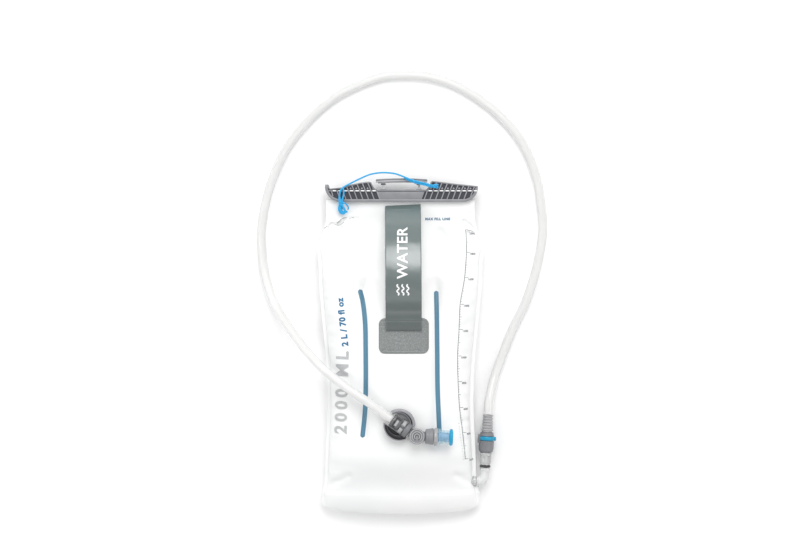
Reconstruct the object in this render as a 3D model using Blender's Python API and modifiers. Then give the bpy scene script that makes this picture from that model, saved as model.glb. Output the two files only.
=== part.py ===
"""A two litre drinking reservoir with its slide seal, drinking hose, quick coupling and bite valve.

The bag lies on its back. +Y runs from the base to the slide seal, +Z up through the front panel,
and the origin is on the floor under the middle of the bag. Metres throughout.
"""
import math

import bmesh
import bpy
from mathutils import Matrix, Vector

# ---------------------------------------------------------------- driving sizes
GAP = 0.0003               # clearance between pieces that touch
FILM = 0.0010              # wall of the bag's films
WELD = 0.0006              # gap between the two lips of a side seam
LIP = 0.0042               # width of the side seam outside the bag

BAG_WIDTH = 0.1790         # over the seams, at the upper corners
BAG_LENGTH = 0.3188        # of the panels, from the base gusset to the mouth
EAR_HALF = BAG_WIDTH / 2
WAIST_HALF = EAR_HALF - 0.0105
BASE_HALF = EAR_HALF - 0.0035
NECK_HALF = EAR_HALF - 0.0090
FILL_HEIGHT = 0.0520       # thickness of the filled bag
SEAM_HEIGHT = 0.0200       # height of the side seam at mid length
BASE_SEAM_HEIGHT = 0.0135  # the same at the base
NECK_HEIGHT = 0.0178       # height of the flat mouth's middle plane
BASE_Y = -0.1600           # where the panels end and the base gusset begins
BASE_DEPTH = 0.0205        # how far the gusset bulges past that
MOUTH_Y = BASE_Y + BAG_LENGTH
WAIST_Y = BASE_Y + 0.1020
EAR_Y = MOUTH_Y - 0.0548   # the upper corners
SHOULDER_Y = MOUTH_Y - 0.0168              # where the flat neck begins
CROWN_Y = MOUTH_Y - 0.1288                 # where the front starts to fall towards the neck
LIFT_Y = MOUTH_Y - 0.0738  # where the back leaves the floor

LINE_X = 0.43 * EAR_HALF   # the inner weld lines, each side of the middle
LINE_LOW, LINE_HIGH = -0.0950, MOUTH_Y - 0.0988
LINE_DEPTH = 0.0070        # how far the weld lines pull the front in
LINE_FADE = 0.0200         # how far past its ends a line still pulls
LINE_REACH = 0.0120        # and to each side
BAFFLE = 0.0008

RAIL_LENGTH = 2 * NECK_HALF - 0.0110
RAIL_WIDTH = 0.0064        # along Y
RAIL_THICK = 0.0036

SEAL_LEFT, SEAL_RIGHT = -NECK_HALF - 0.0020, NECK_HALF + 0.0034
SEAL_BOTTOM = MOUTH_Y - 0.0028
SEAL_TAB = 0.0193          # height of the finger tab at the left end, along Y
SEAL_THICK = 0.0144
SEAL_SLOT = 0.0036         # gap that the films run in
SEAL_LEDGE = 0.0026        # depth of that slot

BRIDGE_LEFT, BRIDGE_RIGHT = -0.0265, 0.0300
BRIDGE_Y = SEAL_BOTTOM + 0.0238
POST_XS = (-0.0190, 0.0200)
POST_FOOT = SEAL_BOTTOM + 0.0137
POST_HALF, POST_WAIST = 0.0042, 0.0022     # half widths of a post at its foot and its waist
BAR_HALF = 0.0026
BRIDGE_HALF_THICK = 0.0034

STRAP_WIDTH = 0.0390
STRAP_THICK = 0.0014
STRAP_X_TOP, STRAP_X_FOOT = 0.0033, 0.0064
# the strap's slack arch, chosen by hand: distance back from the mouth, height over the filled bag
STRAP_ARCH = [(0.0308, -0.0040), (0.0468, 0.0090), (0.0668, 0.0170), (0.0868, 0.0180),
              (0.1068, 0.0130), (0.1208, 0.0055)]
PATCH_SIZE = (0.0577, 0.0384)
PATCH_AT = (0.0058, MOUTH_Y - 0.1454)
PATCH_THICK = 0.0012
PATCH_LIFT = 0.0010        # gap under the patch, which clears the front's curved facets

INSERT_R = 0.0030          # the plug that the quick coupling slides over
SLIP = 0.0004              # clearance of sliding fits
BORE_R = INSERT_R + SLIP
BODY_R = BORE_R + 0.0044

PORT_X = BASE_HALF - 0.0190
PORT_Y = BASE_Y + 0.0135   # the outlet in the right seam
PORT_LONG = 0.0155
ELBOW_BORE = INSERT_R + SLIP
ELBOW_R = ELBOW_BORE + 0.0016
PORT_R = ELBOW_BORE + 0.0022

COUPLING_AT = (BASE_HALF + ELBOW_R + 0.0007, PORT_Y + 0.0150, 0.0135)  # lower end of its axis
COUPLING_LEAN = math.radians(3.4)          # its lean towards +X
LATCH_FLAT = -(INSERT_R + 0.0011)          # the latch plate's flat end, across the coupling
SLOT_LOW, SLOT_HIGH = 0.0292, 0.0344       # the latch's slot, along the coupling

HOSE_R = 0.0047

VALVE_HEIGHT = FILL_HEIGHT + 0.0085
BARREL_START = (-0.0090, -0.0765)
BARREL_END = (0.0095, -0.0895)
KNOB_AT = (0.0175, -0.0938)
OUTLET_TURN = math.radians(-2.3)
BARREL_R = 0.0065
SPINDLE_R = 0.0040
ELBOW_BODY_R = SPINDLE_R + 0.0024
KNOB_R = ELBOW_BODY_R + 0.0017
KNOB_LOW, KNOB_HIGH = 0.0065, 0.0098       # the knob's cap over the elbow's middle
STUB_R = 0.0050            # the elbow's outlet, which the bite valve turns on
OUTLET_START = KNOB_R + 0.0007             # where the bite valve begins, along the outlet
PASSAGE_R = 0.0022

LANYARD_R = 0.0009
KNOT_R = 0.0022

# the sizes that the hand-chosen points were drawn for, which move with the sizes above
DRAWN_EAR, DRAWN_MOUTH, DRAWN_VALVE, DRAWN_FLOOR = 0.0895, 0.1588, 0.0605, 0.0048

# points chosen by hand: the drinking hose from the coupling's strain relief to the valve
HOSE_ROUTE = [
    (0.0984, -0.0480, 0.0108), (0.1030, -0.0310, 0.0066), (0.1110, -0.0100, 0.0051),
    (0.1220, 0.0180, 0.0048), (0.1350, 0.0450, 0.0048), (0.1450, 0.0730, 0.0048),
    (0.1520, 0.1030, 0.0048), (0.1550, 0.1290, 0.0048), (0.1530, 0.1550, 0.0048),
    (0.1480, 0.1840, 0.0048), (0.1350, 0.2170, 0.0048), (0.1160, 0.2430, 0.0048),
    (0.0900, 0.2660, 0.0048), (0.0600, 0.2840, 0.0048), (0.0310, 0.2930, 0.0048),
    (0.0050, 0.2950, 0.0048), (-0.0210, 0.2930, 0.0048), (-0.0510, 0.2820, 0.0048),
    (-0.0770, 0.2670, 0.0048), (-0.1030, 0.2430, 0.0048), (-0.1260, 0.2120, 0.0048),
    (-0.1420, 0.1740, 0.0048), (-0.1500, 0.1380, 0.0048), (-0.1510, 0.1090, 0.0052),
    (-0.1470, 0.0770, 0.0080), (-0.1370, 0.0470, 0.0150), (-0.1210, 0.0220, 0.0270),
    (-0.1010, -0.0040, 0.0410), (-0.0790, -0.0260, 0.0530), (-0.0530, -0.0455, 0.0592),
    (-0.0300, -0.0610, 0.0605),
]

# points chosen by hand: the lanyard from the knot on the slide seal to the knot on the bag
LANYARD_ROUTE = [
    (0.0373, 0.1737, 0.0275), (0.0250, 0.1795, 0.0262), (0.0080, 0.1858, 0.0235),
    (-0.0080, 0.1888, 0.0215), (-0.0220, 0.1886, 0.0210), (-0.0370, 0.1855, 0.0225),
    (-0.0510, 0.1800, 0.0262), (-0.0605, 0.1735, 0.0272), (-0.0650, 0.1650, 0.0272),
    (-0.0655, 0.1580, 0.0270), (-0.0655, 0.1530, 0.0258), (-0.0655, 0.1500, 0.0240),
]

# ---------------------------------------------------------------- scene
for old in list(bpy.data.objects):
    bpy.data.objects.remove(old, do_unlink=True)

scene_root = bpy.context.scene.collection
parts = bpy.data.collections.new("hydration_reservoir")
cutters = bpy.data.collections.new("cutters")
scene_root.children.link(parts)
scene_root.children.link(cutters)


def material(name, colour, roughness, metallic=0.0):
    made = bpy.data.materials.new(name)
    made.use_nodes = True
    shader = made.node_tree.nodes["Principled BSDF"]
    shader.inputs["Base Color"].default_value = (*colour, 1.0)
    shader.inputs["Roughness"].default_value = roughness
    shader.inputs["Metallic"].default_value = metallic
    return made


film_mat = material("clear_film", (0.90, 0.91, 0.91), 0.30)
strap_mat = material("strap_film", (0.20, 0.25, 0.24), 0.35)
grey_mat = material("grey_plastic", (0.27, 0.28, 0.30), 0.45)
blue_mat = material("blue_plastic", (0.02, 0.35, 0.62), 0.40)
clear_mat = material("clear_plastic", (0.85, 0.86, 0.86), 0.20)
rubber_mat = material("dark_rubber", (0.05, 0.05, 0.06), 0.60)
hose_mat = material("hose_wall", (0.88, 0.88, 0.86), 0.25)
cord_mat = material("blue_cord", (0.02, 0.42, 0.72), 0.70)
steel_mat = material("spring_steel", (0.60, 0.60, 0.60), 0.30, 1.0)


# ---------------------------------------------------------------- shape helpers
def finish(name, mesh, mat, into=parts, parent=None):
    """Link a mesh as an object of one sub-part."""
    mesh.name = name
    made = bpy.data.objects.new(name, mesh)
    into.objects.link(made)
    if mat:
        mesh.materials.clear()
        mesh.materials.append(mat)
    if parent:
        made.parent = parent
    if into is cutters:
        made.hide_render = True
        made.display_type = "WIRE"
    return made


def smooth(made, angle=40):
    made.data.shade_smooth()
    made.data.set_sharp_from_angle(angle=math.radians(angle))


def box(name, low, high, mat=None, into=parts, parent=None):
    bm = bmesh.new()
    bmesh.ops.create_cube(bm, size=1.0)
    low, high = Vector(low), Vector(high)
    for v in bm.verts:
        v.co = Vector((v.co[i] * (high[i] - low[i]) + (high[i] + low[i]) / 2 for i in range(3)))
    mesh = bpy.data.meshes.new(name)
    bm.to_mesh(mesh)
    bm.free()
    return finish(name, mesh, mat, into, parent)


def turned(name, profile, mat=None, steps=18, into=parts, parent=None, closed=False):
    """Turn (radius, height) points about local Z; the outer side runs from top to bottom."""
    bm = bmesh.new()
    verts = [bm.verts.new((r, 0, z)) for r, z in profile]
    for a, b in zip(verts, verts[1:]):
        bm.edges.new((a, b))
    if closed:
        bm.edges.new((verts[-1], verts[0]))
    mesh = bpy.data.meshes.new(name)
    bm.to_mesh(mesh)
    bm.free()
    made = finish(name, mesh, mat, into, parent)
    screw = made.modifiers.new("turn", "SCREW")
    screw.steps = screw.render_steps = steps
    screw.use_merge_vertices = True
    screw.merge_threshold = 0.00001
    return made


def sleeve(outer, inner_low, inner_high=None):
    """A closed profile: outer points from top to bottom, then a straight or tapered bore back up."""
    top, bottom = outer[0][1], outer[-1][1]
    return outer + [(inner_low, bottom), (inner_high or inner_low, top)]


def along(name, start, direction, into_parent=None):
    """An empty at start whose +Z looks along direction and whose +X stays level."""
    z = Vector(direction).normalized()
    x = z.cross(Vector((0, 0, 1))).normalized()
    y = z.cross(x)
    made = bpy.data.objects.new(name, None)
    scene_root.objects.link(made)
    made.matrix_world = Matrix.Translation(start) @ Matrix((x, y, z)).transposed().to_4x4()
    if into_parent:
        made.parent = into_parent
    return made


def smooth_route(points, spacing):
    """Points at even spacing on a smooth curve through the given ones."""
    pts = [Vector(p) for p in points]
    pts = [2 * pts[0] - pts[1]] + pts + [2 * pts[-1] - pts[-2]]
    fine = []
    for a, b, c, d in zip(pts, pts[1:], pts[2:], pts[3:]):
        for k in range(24):
            t = k / 24
            fine.append(0.5 * (2 * b + (c - a) * t + (2 * a - 5 * b + 4 * c - d) * t * t
                               + (3 * b - a - 3 * c + d) * t ** 3))
    fine.append(pts[-2])
    total = sum((b - a).length for a, b in zip(fine, fine[1:]))
    count = max(2, round(total / spacing))
    out, walked, want = [fine[0]], 0.0, total / count
    for a, b in zip(fine, fine[1:]):
        step = (b - a).length
        while len(out) < count and walked + step >= want * len(out):
            out.append(a.lerp(b, (want * len(out) - walked) / step))
        walked += step
    return out + [fine[-1]]


def tube(name, points, radius, mat=None, into=parts, resolution=2, parent=None):
    curve = bpy.data.curves.new(name, "CURVE")
    curve.dimensions = "3D"
    curve.bevel_depth = radius
    curve.bevel_resolution = resolution
    curve.use_fill_caps = True
    spline = curve.splines.new("POLY")
    spline.points.add(len(points) - 1)
    for p, co in zip(spline.points, points):
        p.co = (*co, 1.0)
    made = bpy.data.objects.new(name, curve)
    into.objects.link(made)
    if mat:
        curve.materials.append(mat)
    if parent:
        made.parent = parent
    return made


def plate_mesh(name, outline, low, high):
    """A flat outline given thickness along Z, as a mesh."""
    curve = bpy.data.curves.new(name, "CURVE")
    curve.dimensions = "2D"
    curve.fill_mode = "BOTH"
    curve.extrude = (high - low) / 2
    spline = curve.splines.new("POLY")
    spline.points.add(len(outline) - 1)
    for p, (x, y) in zip(spline.points, outline):
        p.co = (x, y, 0, 1)
    spline.use_cyclic_u = True
    guide = bpy.data.objects.new(name, curve)
    scene_root.objects.link(guide)
    return mesh_of(guide, (low + high) / 2)


def mesh_of(guide, lift=0.0):
    """The closed mesh of a curve object, which is then removed."""
    bpy.context.view_layer.update()
    seen = guide.evaluated_get(bpy.context.evaluated_depsgraph_get())
    mesh = bpy.data.meshes.new_from_object(seen)
    bm = bmesh.new()
    bm.from_mesh(mesh)
    bmesh.ops.remove_doubles(bm, verts=bm.verts, dist=0.00001)
    bmesh.ops.translate(bm, verts=bm.verts, vec=(0, 0, lift))
    bmesh.ops.recalc_face_normals(bm, faces=bm.faces)
    bm.to_mesh(mesh)
    bm.free()
    bpy.data.objects.remove(guide, do_unlink=True)
    return mesh


def combine(made, other, operation):
    step = made.modifiers.new(operation.lower(), "BOOLEAN")
    step.operation = operation
    step.solver = "EXACT"
    step.object = other


def sheet(name, columns, rows, place, thickness, mat, smooth_angle=60):
    """A grid bent by place(u, v), u and v from 0 to 1, with its wall on the side away from its face."""
    bm = bmesh.new()
    bmesh.ops.create_grid(bm, x_segments=columns, y_segments=rows, size=0.5)
    for v in bm.verts:
        v.co = Vector(place(v.co.x + 0.5, v.co.y + 0.5))
    bmesh.ops.recalc_face_normals(bm, faces=bm.faces)
    mesh = bpy.data.meshes.new(name)
    bm.to_mesh(mesh)
    bm.free()
    made = finish(name, mesh, mat)
    wall = made.modifiers.new("wall", "SOLIDIFY")
    wall.thickness = thickness
    wall.offset = -1.0
    smooth(made, smooth_angle)
    return made


def blend_through(points, at):
    """A smooth value through (position, value) points."""
    if at <= points[0][0]:
        return points[0][1]
    for (a, fa), (b, fb) in zip(points, points[1:]):
        if at <= b:
            t = (at - a) / (b - a)
            return fa + (fb - fa) * t * t * (3 - 2 * t)
    return points[-1][1]


# ---------------------------------------------------------------- the bag's form
def half_width(y):
    """Half the width over the seam lips."""
    return blend_through([(BASE_Y, BASE_HALF), (WAIST_Y, WAIST_HALF), (EAR_Y, EAR_HALF),
                          (SHOULDER_Y, NECK_HALF)], y)


def seam_height(y):
    return blend_through([(BASE_Y, BASE_SEAM_HEIGHT), (0.0, SEAM_HEIGHT), (SHOULDER_Y, NECK_HEIGHT)], y)


def crown(y):
    """Height of the front panel's outside along the middle."""
    flat_film = NECK_HEIGHT + WELD / 2 + FILM
    return blend_through([(BASE_Y, 0.65 * FILL_HEIGHT), (BASE_Y + 0.0450, FILL_HEIGHT),
                          (CROWN_Y, FILL_HEIGHT), (SHOULDER_Y, flat_film)], y)


def underside(y):
    """Height of the back panel's outside along the middle."""
    flat_film = NECK_HEIGHT - WELD / 2 - FILM
    return blend_through([(BASE_Y, 0.0030), (BASE_Y + 0.0200, 0.0), (LIFT_Y, 0.0),
                          (SHOULDER_Y, flat_film)], y)


def line_pull(x, y):
    """How far the inner weld lines draw the front panel in."""
    if not LINE_LOW - LINE_FADE < y < LINE_HIGH + LINE_FADE:
        return 0.0
    ends = min(1.0, (y - LINE_LOW + LINE_FADE) / LINE_FADE, (LINE_HIGH + LINE_FADE - y) / LINE_FADE)
    return LINE_DEPTH * ends * math.exp(-((abs(x) - LINE_X) / LINE_REACH) ** 2)


def front_height(x, y):
    body = half_width(y) - LIP
    edge = seam_height(y) + WELD / 2 + FILM
    if abs(x) >= body:
        return edge
    bulge = (1 - (x / body) ** 2) ** 0.43
    return edge + (crown(y) - edge) * bulge - line_pull(x, y) * min(1.0, (crown(y) - edge) / 0.02)


def above_front(x, y, distance):
    """The point at a distance out from the front panel, square to it."""
    d = 0.0005
    slope_x = (front_height(x + d, y) - front_height(x - d, y)) / (2 * d)
    slope_y = (front_height(x, y + d) - front_height(x, y - d)) / (2 * d)
    out = Vector((-slope_x, -slope_y, 1)).normalized()
    return Vector((x, y, front_height(x, y))) + out * distance


def back_height(x, y):
    body = half_width(y) - LIP
    edge = seam_height(y) - WELD / 2 - FILM
    if abs(x) >= body:
        return edge
    return edge - (edge - underside(y)) * min(1.0, 1.12 * (1 - (x / body) ** 2) ** 0.36)


def across(u, y):
    """The x of a panel's column: a seam lip each side, and columns closer together near the seams."""
    half, body = half_width(y), half_width(y) - LIP
    if u < 0.02:
        return -half
    if u > 0.98:
        return half
    turn = (u - 0.5) / 0.45 * math.pi / 2
    return body * math.sin(max(-math.pi / 2, min(math.pi / 2, turn)))


ROWS = round(BAG_LENGTH / 0.0133)
COLUMNS = 30


def down(v):
    """The y of a panel's row, closer together at both ends."""
    eased = v - 0.55 * math.sin(2 * math.pi * v) / (2 * math.pi)
    return BASE_Y + (MOUTH_Y - BASE_Y) * eased


def make_panels():
    front = sheet("front_panel", COLUMNS, ROWS, lambda u, v: (
        across(u, down(v)), down(v), front_height(across(u, down(v)), down(v))), FILM, film_mat)
    back = sheet("back_panel", COLUMNS, ROWS, lambda u, v: (
        across(u, down(v)), down(v), back_height(across(u, down(v)), down(v))), FILM, film_mat)
    back.data.flip_normals()
    hole = turned("port_hole", [(0, 0.032), (PORT_R + GAP, 0.032), (PORT_R + GAP, 0), (0, 0)],
                  steps=20, into=cutters)
    hole.matrix_world = along("port_hole_axis", (PORT_X - 0.0010, PORT_Y, seam_height(PORT_Y)),
                              (1, 0, 0)).matrix_world
    combine(front, hole, "DIFFERENCE")
    combine(back, hole, "DIFFERENCE")


def make_gusset():
    clear = 0.0013             # room for the panels' ends
    side = BASE_HALF - LIP

    def place(u, v):
        turn = (u - 0.5) * math.radians(156)
        x = side * math.sin(turn)
        low, high = back_height(x, BASE_Y), front_height(x, BASE_Y)
        out = BASE_DEPTH * max(0.0, math.sin(math.pi * v)) ** 0.6 * math.cos(turn) ** 0.5
        return (x, BASE_Y - clear - out, low + (high - low) * v)

    sheet("base_gusset", 14, 8, place, FILM, film_mat)


def make_baffles():
    clear = 0.0016
    for name, side in (("left_baffle", -1), ("right_baffle", 1)):
        x = side * LINE_X

        def place(u, v):
            y = LINE_LOW + (LINE_HIGH - LINE_LOW) * u
            low = underside(y) + FILM + clear
            high = front_height(x, y) - FILM - clear
            return (x, y, low + (high - low) * v)

        sheet(name, 8, 1, place, BAFFLE, film_mat)


def make_rails():
    inner = MOUTH_Y + GAP
    half = RAIL_LENGTH / 2
    box("mouth_rail_front", (-half, inner, NECK_HEIGHT + WELD / 2),
        (half, inner + RAIL_WIDTH, NECK_HEIGHT + WELD / 2 + RAIL_THICK), clear_mat)
    box("mouth_rail_back", (-half, inner, NECK_HEIGHT - WELD / 2 - RAIL_THICK),
        (half, inner + RAIL_WIDTH, NECK_HEIGHT - WELD / 2), clear_mat)


# ---------------------------------------------------------------- handle
def make_handle():
    patch_x, patch_y = PATCH_AT

    def patch_place(u, v):
        x = patch_x + (u - 0.5) * PATCH_SIZE[0]
        y = patch_y + (v - 0.5) * PATCH_SIZE[1]
        return above_front(x, y, PATCH_LIFT + PATCH_THICK)

    sheet("handle_anchor", 10, 5, patch_place, PATCH_THICK, strap_mat)

    top_y = SEAL_BOTTOM - 0.0020
    top_z = crown(top_y) + GAP + STRAP_THICK
    foot_z = FILL_HEIGHT + PATCH_LIFT + PATCH_THICK + 0.0004 + STRAP_THICK
    arch = [(0, MOUTH_Y - back, FILL_HEIGHT + rise) for back, rise in STRAP_ARCH]
    path = smooth_route([(0, top_y, top_z), (0, top_y - 0.008, top_z + 0.0030), *arch,
                         (0, patch_y + 0.0136, foot_z + 0.0004), (0, patch_y + 0.0056, foot_z)], 0.007)

    def strap_place(u, v):
        at = path[round(v * (len(path) - 1))]
        lean = STRAP_X_TOP + (STRAP_X_FOOT - STRAP_X_TOP) * v
        return (lean + (0.5 - u) * STRAP_WIDTH, at.y, at.z)

    sheet("handle_strap", 2, len(path) - 1, strap_place, STRAP_THICK, strap_mat)


# ---------------------------------------------------------------- slide seal
def arc(cx, cy, r, start, stop, steps):
    return [(cx + r * math.cos(math.radians(start + (stop - start) * k / steps)),
             cy + r * math.sin(math.radians(start + (stop - start) * k / steps)))
            for k in range(steps + 1)]


def make_slide_seal():
    corner_l, corner_r = 0.0172, 0.0160
    outline = arc(SEAL_LEFT + corner_l, SEAL_BOTTOM + corner_l, corner_l, 180, 270, 6)
    outline += arc(SEAL_RIGHT - corner_r, SEAL_BOTTOM + corner_r, corner_r, 270, 360, 5)
    outline += [(x, SEAL_BOTTOM + y) for x, y in [
        (SEAL_RIGHT, 0.0180), (SEAL_RIGHT - 0.0239, 0.0197), (BRIDGE_RIGHT + 0.0045, 0.0226),
        (BRIDGE_RIGHT, 0.0137), (BRIDGE_LEFT, 0.0137), (BRIDGE_LEFT - 0.0065, 0.0224),
        (SEAL_LEFT + 0.0196, 0.0163), (SEAL_LEFT + 0.0059, 0.0149),
        (SEAL_LEFT + 0.0042, SEAL_TAB), (SEAL_LEFT, SEAL_TAB)]]
    low = NECK_HEIGHT - SEAL_THICK / 2
    seal = finish("slide_seal", plate_mesh("slide_seal", outline, low, low + SEAL_THICK), grey_mat)
    past = SEAL_RIGHT + 0.010
    ledge = SEAL_BOTTOM + SEAL_LEDGE
    slot = box("film_slot", (-NECK_HALF - 0.0006, SEAL_BOTTOM - 0.010, NECK_HEIGHT - SEAL_SLOT / 2),
               (past, ledge + 0.001, NECK_HEIGHT + SEAL_SLOT / 2), into=cutters)
    deep = WELD / 2 + RAIL_THICK + 0.0004
    channel = box("rail_channel", (-RAIL_LENGTH / 2 - 0.0010, ledge, NECK_HEIGHT - deep),
                  (past, MOUTH_Y + GAP + RAIL_WIDTH + 0.0004, NECK_HEIGHT + deep), into=cutters)
    combine(seal, slot, "DIFFERENCE")
    combine(seal, channel, "DIFFERENCE")
    smooth(seal, 30)

    foot = POST_FOOT + GAP
    waist = BRIDGE_Y - 0.0055
    under = BRIDGE_Y - BAR_HALF
    bridge = [(BRIDGE_LEFT, under)]
    for x in POST_XS:
        bridge += [(x - POST_HALF, under), (x - POST_WAIST, waist), (x - POST_HALF, foot),
                   (x + POST_HALF, foot), (x + POST_WAIST, waist), (x + POST_HALF, under)]
    shoulder = BRIDGE_Y + 0.0012
    bridge += [(BRIDGE_RIGHT, under), (BRIDGE_RIGHT, shoulder),
               ((BRIDGE_LEFT + BRIDGE_RIGHT) / 2, BRIDGE_Y + BAR_HALF), (BRIDGE_LEFT, shoulder)]
    low = NECK_HEIGHT - BRIDGE_HALF_THICK
    finish("hang_bridge", plate_mesh("hang_bridge", bridge, low, NECK_HEIGHT + BRIDGE_HALF_THICK), grey_mat)


# ---------------------------------------------------------------- outlet and quick coupling
def make_port():
    height = seam_height(PORT_Y)
    axis = along("port_axis", (PORT_X, PORT_Y, height), (1, 0, 0))
    flange_r, flange = PORT_R + 0.0018, 0.0030
    turned("port_fitment", sleeve([(PORT_R, PORT_LONG), (PORT_R, flange), (flange_r, flange), (flange_r, 0)],
                                  ELBOW_BORE), clear_mat, parent=axis, closed=True)
    start = Vector((PORT_X + PORT_LONG + 2 * GAP, PORT_Y, height))
    end = Vector(COUPLING_AT)
    up = Vector((math.sin(COUPLING_LEAN), math.cos(COUPLING_LEAN), 0))
    turn = min(end.x - start.x, end.y - start.y) - 0.0004
    middle = Vector((end.x - up.x * 0.0075 - turn, start.y + turn, 0))
    bend = [start]
    for step in range(7):
        a = math.radians(-90 + 15 * step)
        bend.append(middle + Vector((turn * math.cos(a), turn * math.sin(a),
                                     start.z + (end.z - start.z) * step / 6)))
    bend += [end - up * 0.0040, end - up * GAP]
    route = smooth_route(bend, 0.0020)
    elbow = finish("port_elbow", mesh_of(tube("elbow_guide", route, ELBOW_R, resolution=3)), clear_mat)
    long_route = [2 * route[0] - route[1]] + route + [2 * route[-1] - route[-2]]
    bore = finish("elbow_bore", mesh_of(tube("bore_guide", long_route, ELBOW_BORE, resolution=2)),
                  None, into=cutters)
    combine(elbow, bore, "DIFFERENCE")


def make_coupling():
    up = Vector((math.sin(COUPLING_LEAN), math.cos(COUPLING_LEAN), 0))
    fixed = along("insert_axis", COUPLING_AT, up)
    moving = along("coupling_axis", COUPLING_AT, up)

    socket = INSERT_R + 0.0034                 # the plug's wide end, below the coupling
    catch, groove = INSERT_R - 0.0006, INSERT_R - 0.0008       # for the latch, and for the o-ring
    insert = [(INSERT_R, 0.0400), (INSERT_R, 0.0390), (groove, 0.0390), (groove, 0.0374),
              (INSERT_R, 0.0374), (INSERT_R, SLOT_HIGH + 0.0001), (catch, SLOT_HIGH + 0.0001),
              (catch, SLOT_LOW - 0.0001), (INSERT_R, SLOT_LOW - 0.0001), (INSERT_R, 0.0163),
              (socket - 0.0005, 0.0163), (socket, 0.0156), (socket - 0.0008, 0.0033),
              (INSERT_R, 0.0033), (INSERT_R, -0.0020)]
    turned("port_insert", sleeve(insert, INSERT_R - 0.0013), clear_mat, parent=fixed, closed=True)
    turned("insert_o_ring", sleeve([(INSERT_R + 0.0024, 0.0029), (INSERT_R + 0.0024, 0.0002)],
                                   INSERT_R + GAP), rubber_mat, parent=fixed, closed=True)
    turned("seal_o_ring", ring_profile(INSERT_R - 0.0002, 0.0382, 0.0005, 0.0005), rubber_mat,
           parent=fixed, closed=True)

    low, high = 0.0168, 0.0384                 # the grip, along the coupling
    barb = BORE_R + 0.0003
    outer = [(0.0028, 0.0560), (0.0036, 0.0520), (0.0028, 0.0520), (0.0028, 0.0452),
             (barb, 0.0452), (barb, high), (BODY_R - 0.0014, high),
             (BODY_R - 0.0008, high - 0.0006), (BODY_R - 0.0008, SLOT_HIGH + 0.0020),
             (BODY_R, SLOT_HIGH + 0.0010), (BODY_R, SLOT_LOW - 0.0010),
             (BODY_R - 0.0004, low + 0.0030), (BODY_R - 0.0010, low)]
    inner = [(BORE_R, low), (BORE_R, 0.0440), (0.0021, 0.0440), (0.0021, 0.0490), (0.0014, 0.0490),
             (0.0014, 0.0560)]
    body = turned("coupling_body", outer + inner, grey_mat, steps=24, parent=moving, closed=True)
    lug = box("latch_lug", (-BODY_R - 0.0016, -0.0030, SLOT_LOW - 0.0027),
              (-BODY_R + 0.0025, 0.0030, SLOT_HIGH + 0.0013), into=cutters, parent=moving)
    slot = box("latch_slot", (LATCH_FLAT - 0.0018, -0.0120, SLOT_LOW), (0.0120, 0.0120, SLOT_HIGH),
               into=cutters, parent=moving)
    combine(body, lug, "UNION")
    combine(body, slot, "DIFFERENCE")
    smooth(body, 35)

    bore = barb + 0.0003
    relief = [(bore + 0.0011, 0.0575)]
    for ring in range(6):
        top = 0.0570 - ring * 0.0030
        crest, valley = bore + 0.0014 + 0.0002 * ring, bore + 0.0009 + 0.0002 * ring
        relief += [(crest, top), (crest, top - 0.0014), (valley, top - 0.0020), (valley, top - 0.0028)]
    relief += [(bore + 0.0014, high + GAP)]
    turned("strain_relief", sleeve(relief, bore), grey_mat, parent=moving, closed=True)

    head = BORE_R - GAP
    poppet = [(0, 0.0465), (0.0007, 0.0465), (0.0007, 0.0422), (head, 0.0422), (head, 0.0408),
              (0.0022, 0.0403), (0, 0.0403)]
    turned("check_poppet", poppet, clear_mat, parent=moving)
    spring("poppet_spring", moving, 0.0015, 0.0002, 0.0426, 0.0487, 5)

    latch = plate_mesh("latch_button", latch_outline(), SLOT_LOW + GAP, SLOT_HIGH - GAP)
    button = finish("latch_button", latch, blue_mat, parent=moving)
    eye = INSERT_R + 0.0005                    # the window lets the plug through, pressed or not
    window = finish("latch_window", plate_mesh("latch_window", stadium(-eye, eye + 0.0015, eye),
                                               SLOT_LOW - 0.001, SLOT_HIGH + 0.001),
                    None, into=cutters, parent=moving)
    combine(button, window, "DIFFERENCE")
    side = bpy.data.objects.new("latch_spring_axis", None)
    scene_root.objects.link(side)
    side.parent = moving
    side.location = (LATCH_FLAT - 0.0016, 0, (SLOT_LOW + SLOT_HIGH) / 2)
    side.rotation_euler = (0, math.pi / 2, 0)
    spring("latch_spring", side, 0.0010, 0.00015, 0.0, 0.0013, 2)
    return up


def ring_profile(radius, height, thick, tall):
    """The round section of a rubber ring, as (radius, height) points from its top."""
    return [(radius + thick * math.cos(a), height + tall * math.sin(a))
            for a in (math.pi / 2 - k * math.pi / 4 for k in range(8))]


def stadium(left, right, r):
    return arc(right - r, 0, r, -90, 90, 8) + arc(left + r, 0, r, 90, 270, 8)


def latch_outline():
    """The latch plate seen along the coupling: round, with a flat left end and a thumb pad right."""
    across_grip, pad = BODY_R - 0.0002, BODY_R + 0.0008
    round_part = [p for p in arc(0, 0, across_grip, -125, 125, 20) if p[0] < 0.0052]
    lower = [p for p in round_part if p[1] < 0]
    upper = [p for p in round_part if p[1] > 0]
    return [(LATCH_FLAT, lower[0][1])] + lower + [(pad, -0.0036), (pad, 0.0036)] + upper \
        + [(LATCH_FLAT, upper[-1][1])]


def spring(name, parent, radius, wire, low, high, turns):
    steps = 10
    points = []
    for k in range(turns * steps + 1):
        a = 2 * math.pi * k / steps
        points.append((radius * math.cos(a), radius * math.sin(a),
                       low + wire + (high - low - 2 * wire) * k / (turns * steps)))
    tube(name, points, wire, steel_mat, resolution=1, parent=parent)


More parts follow.
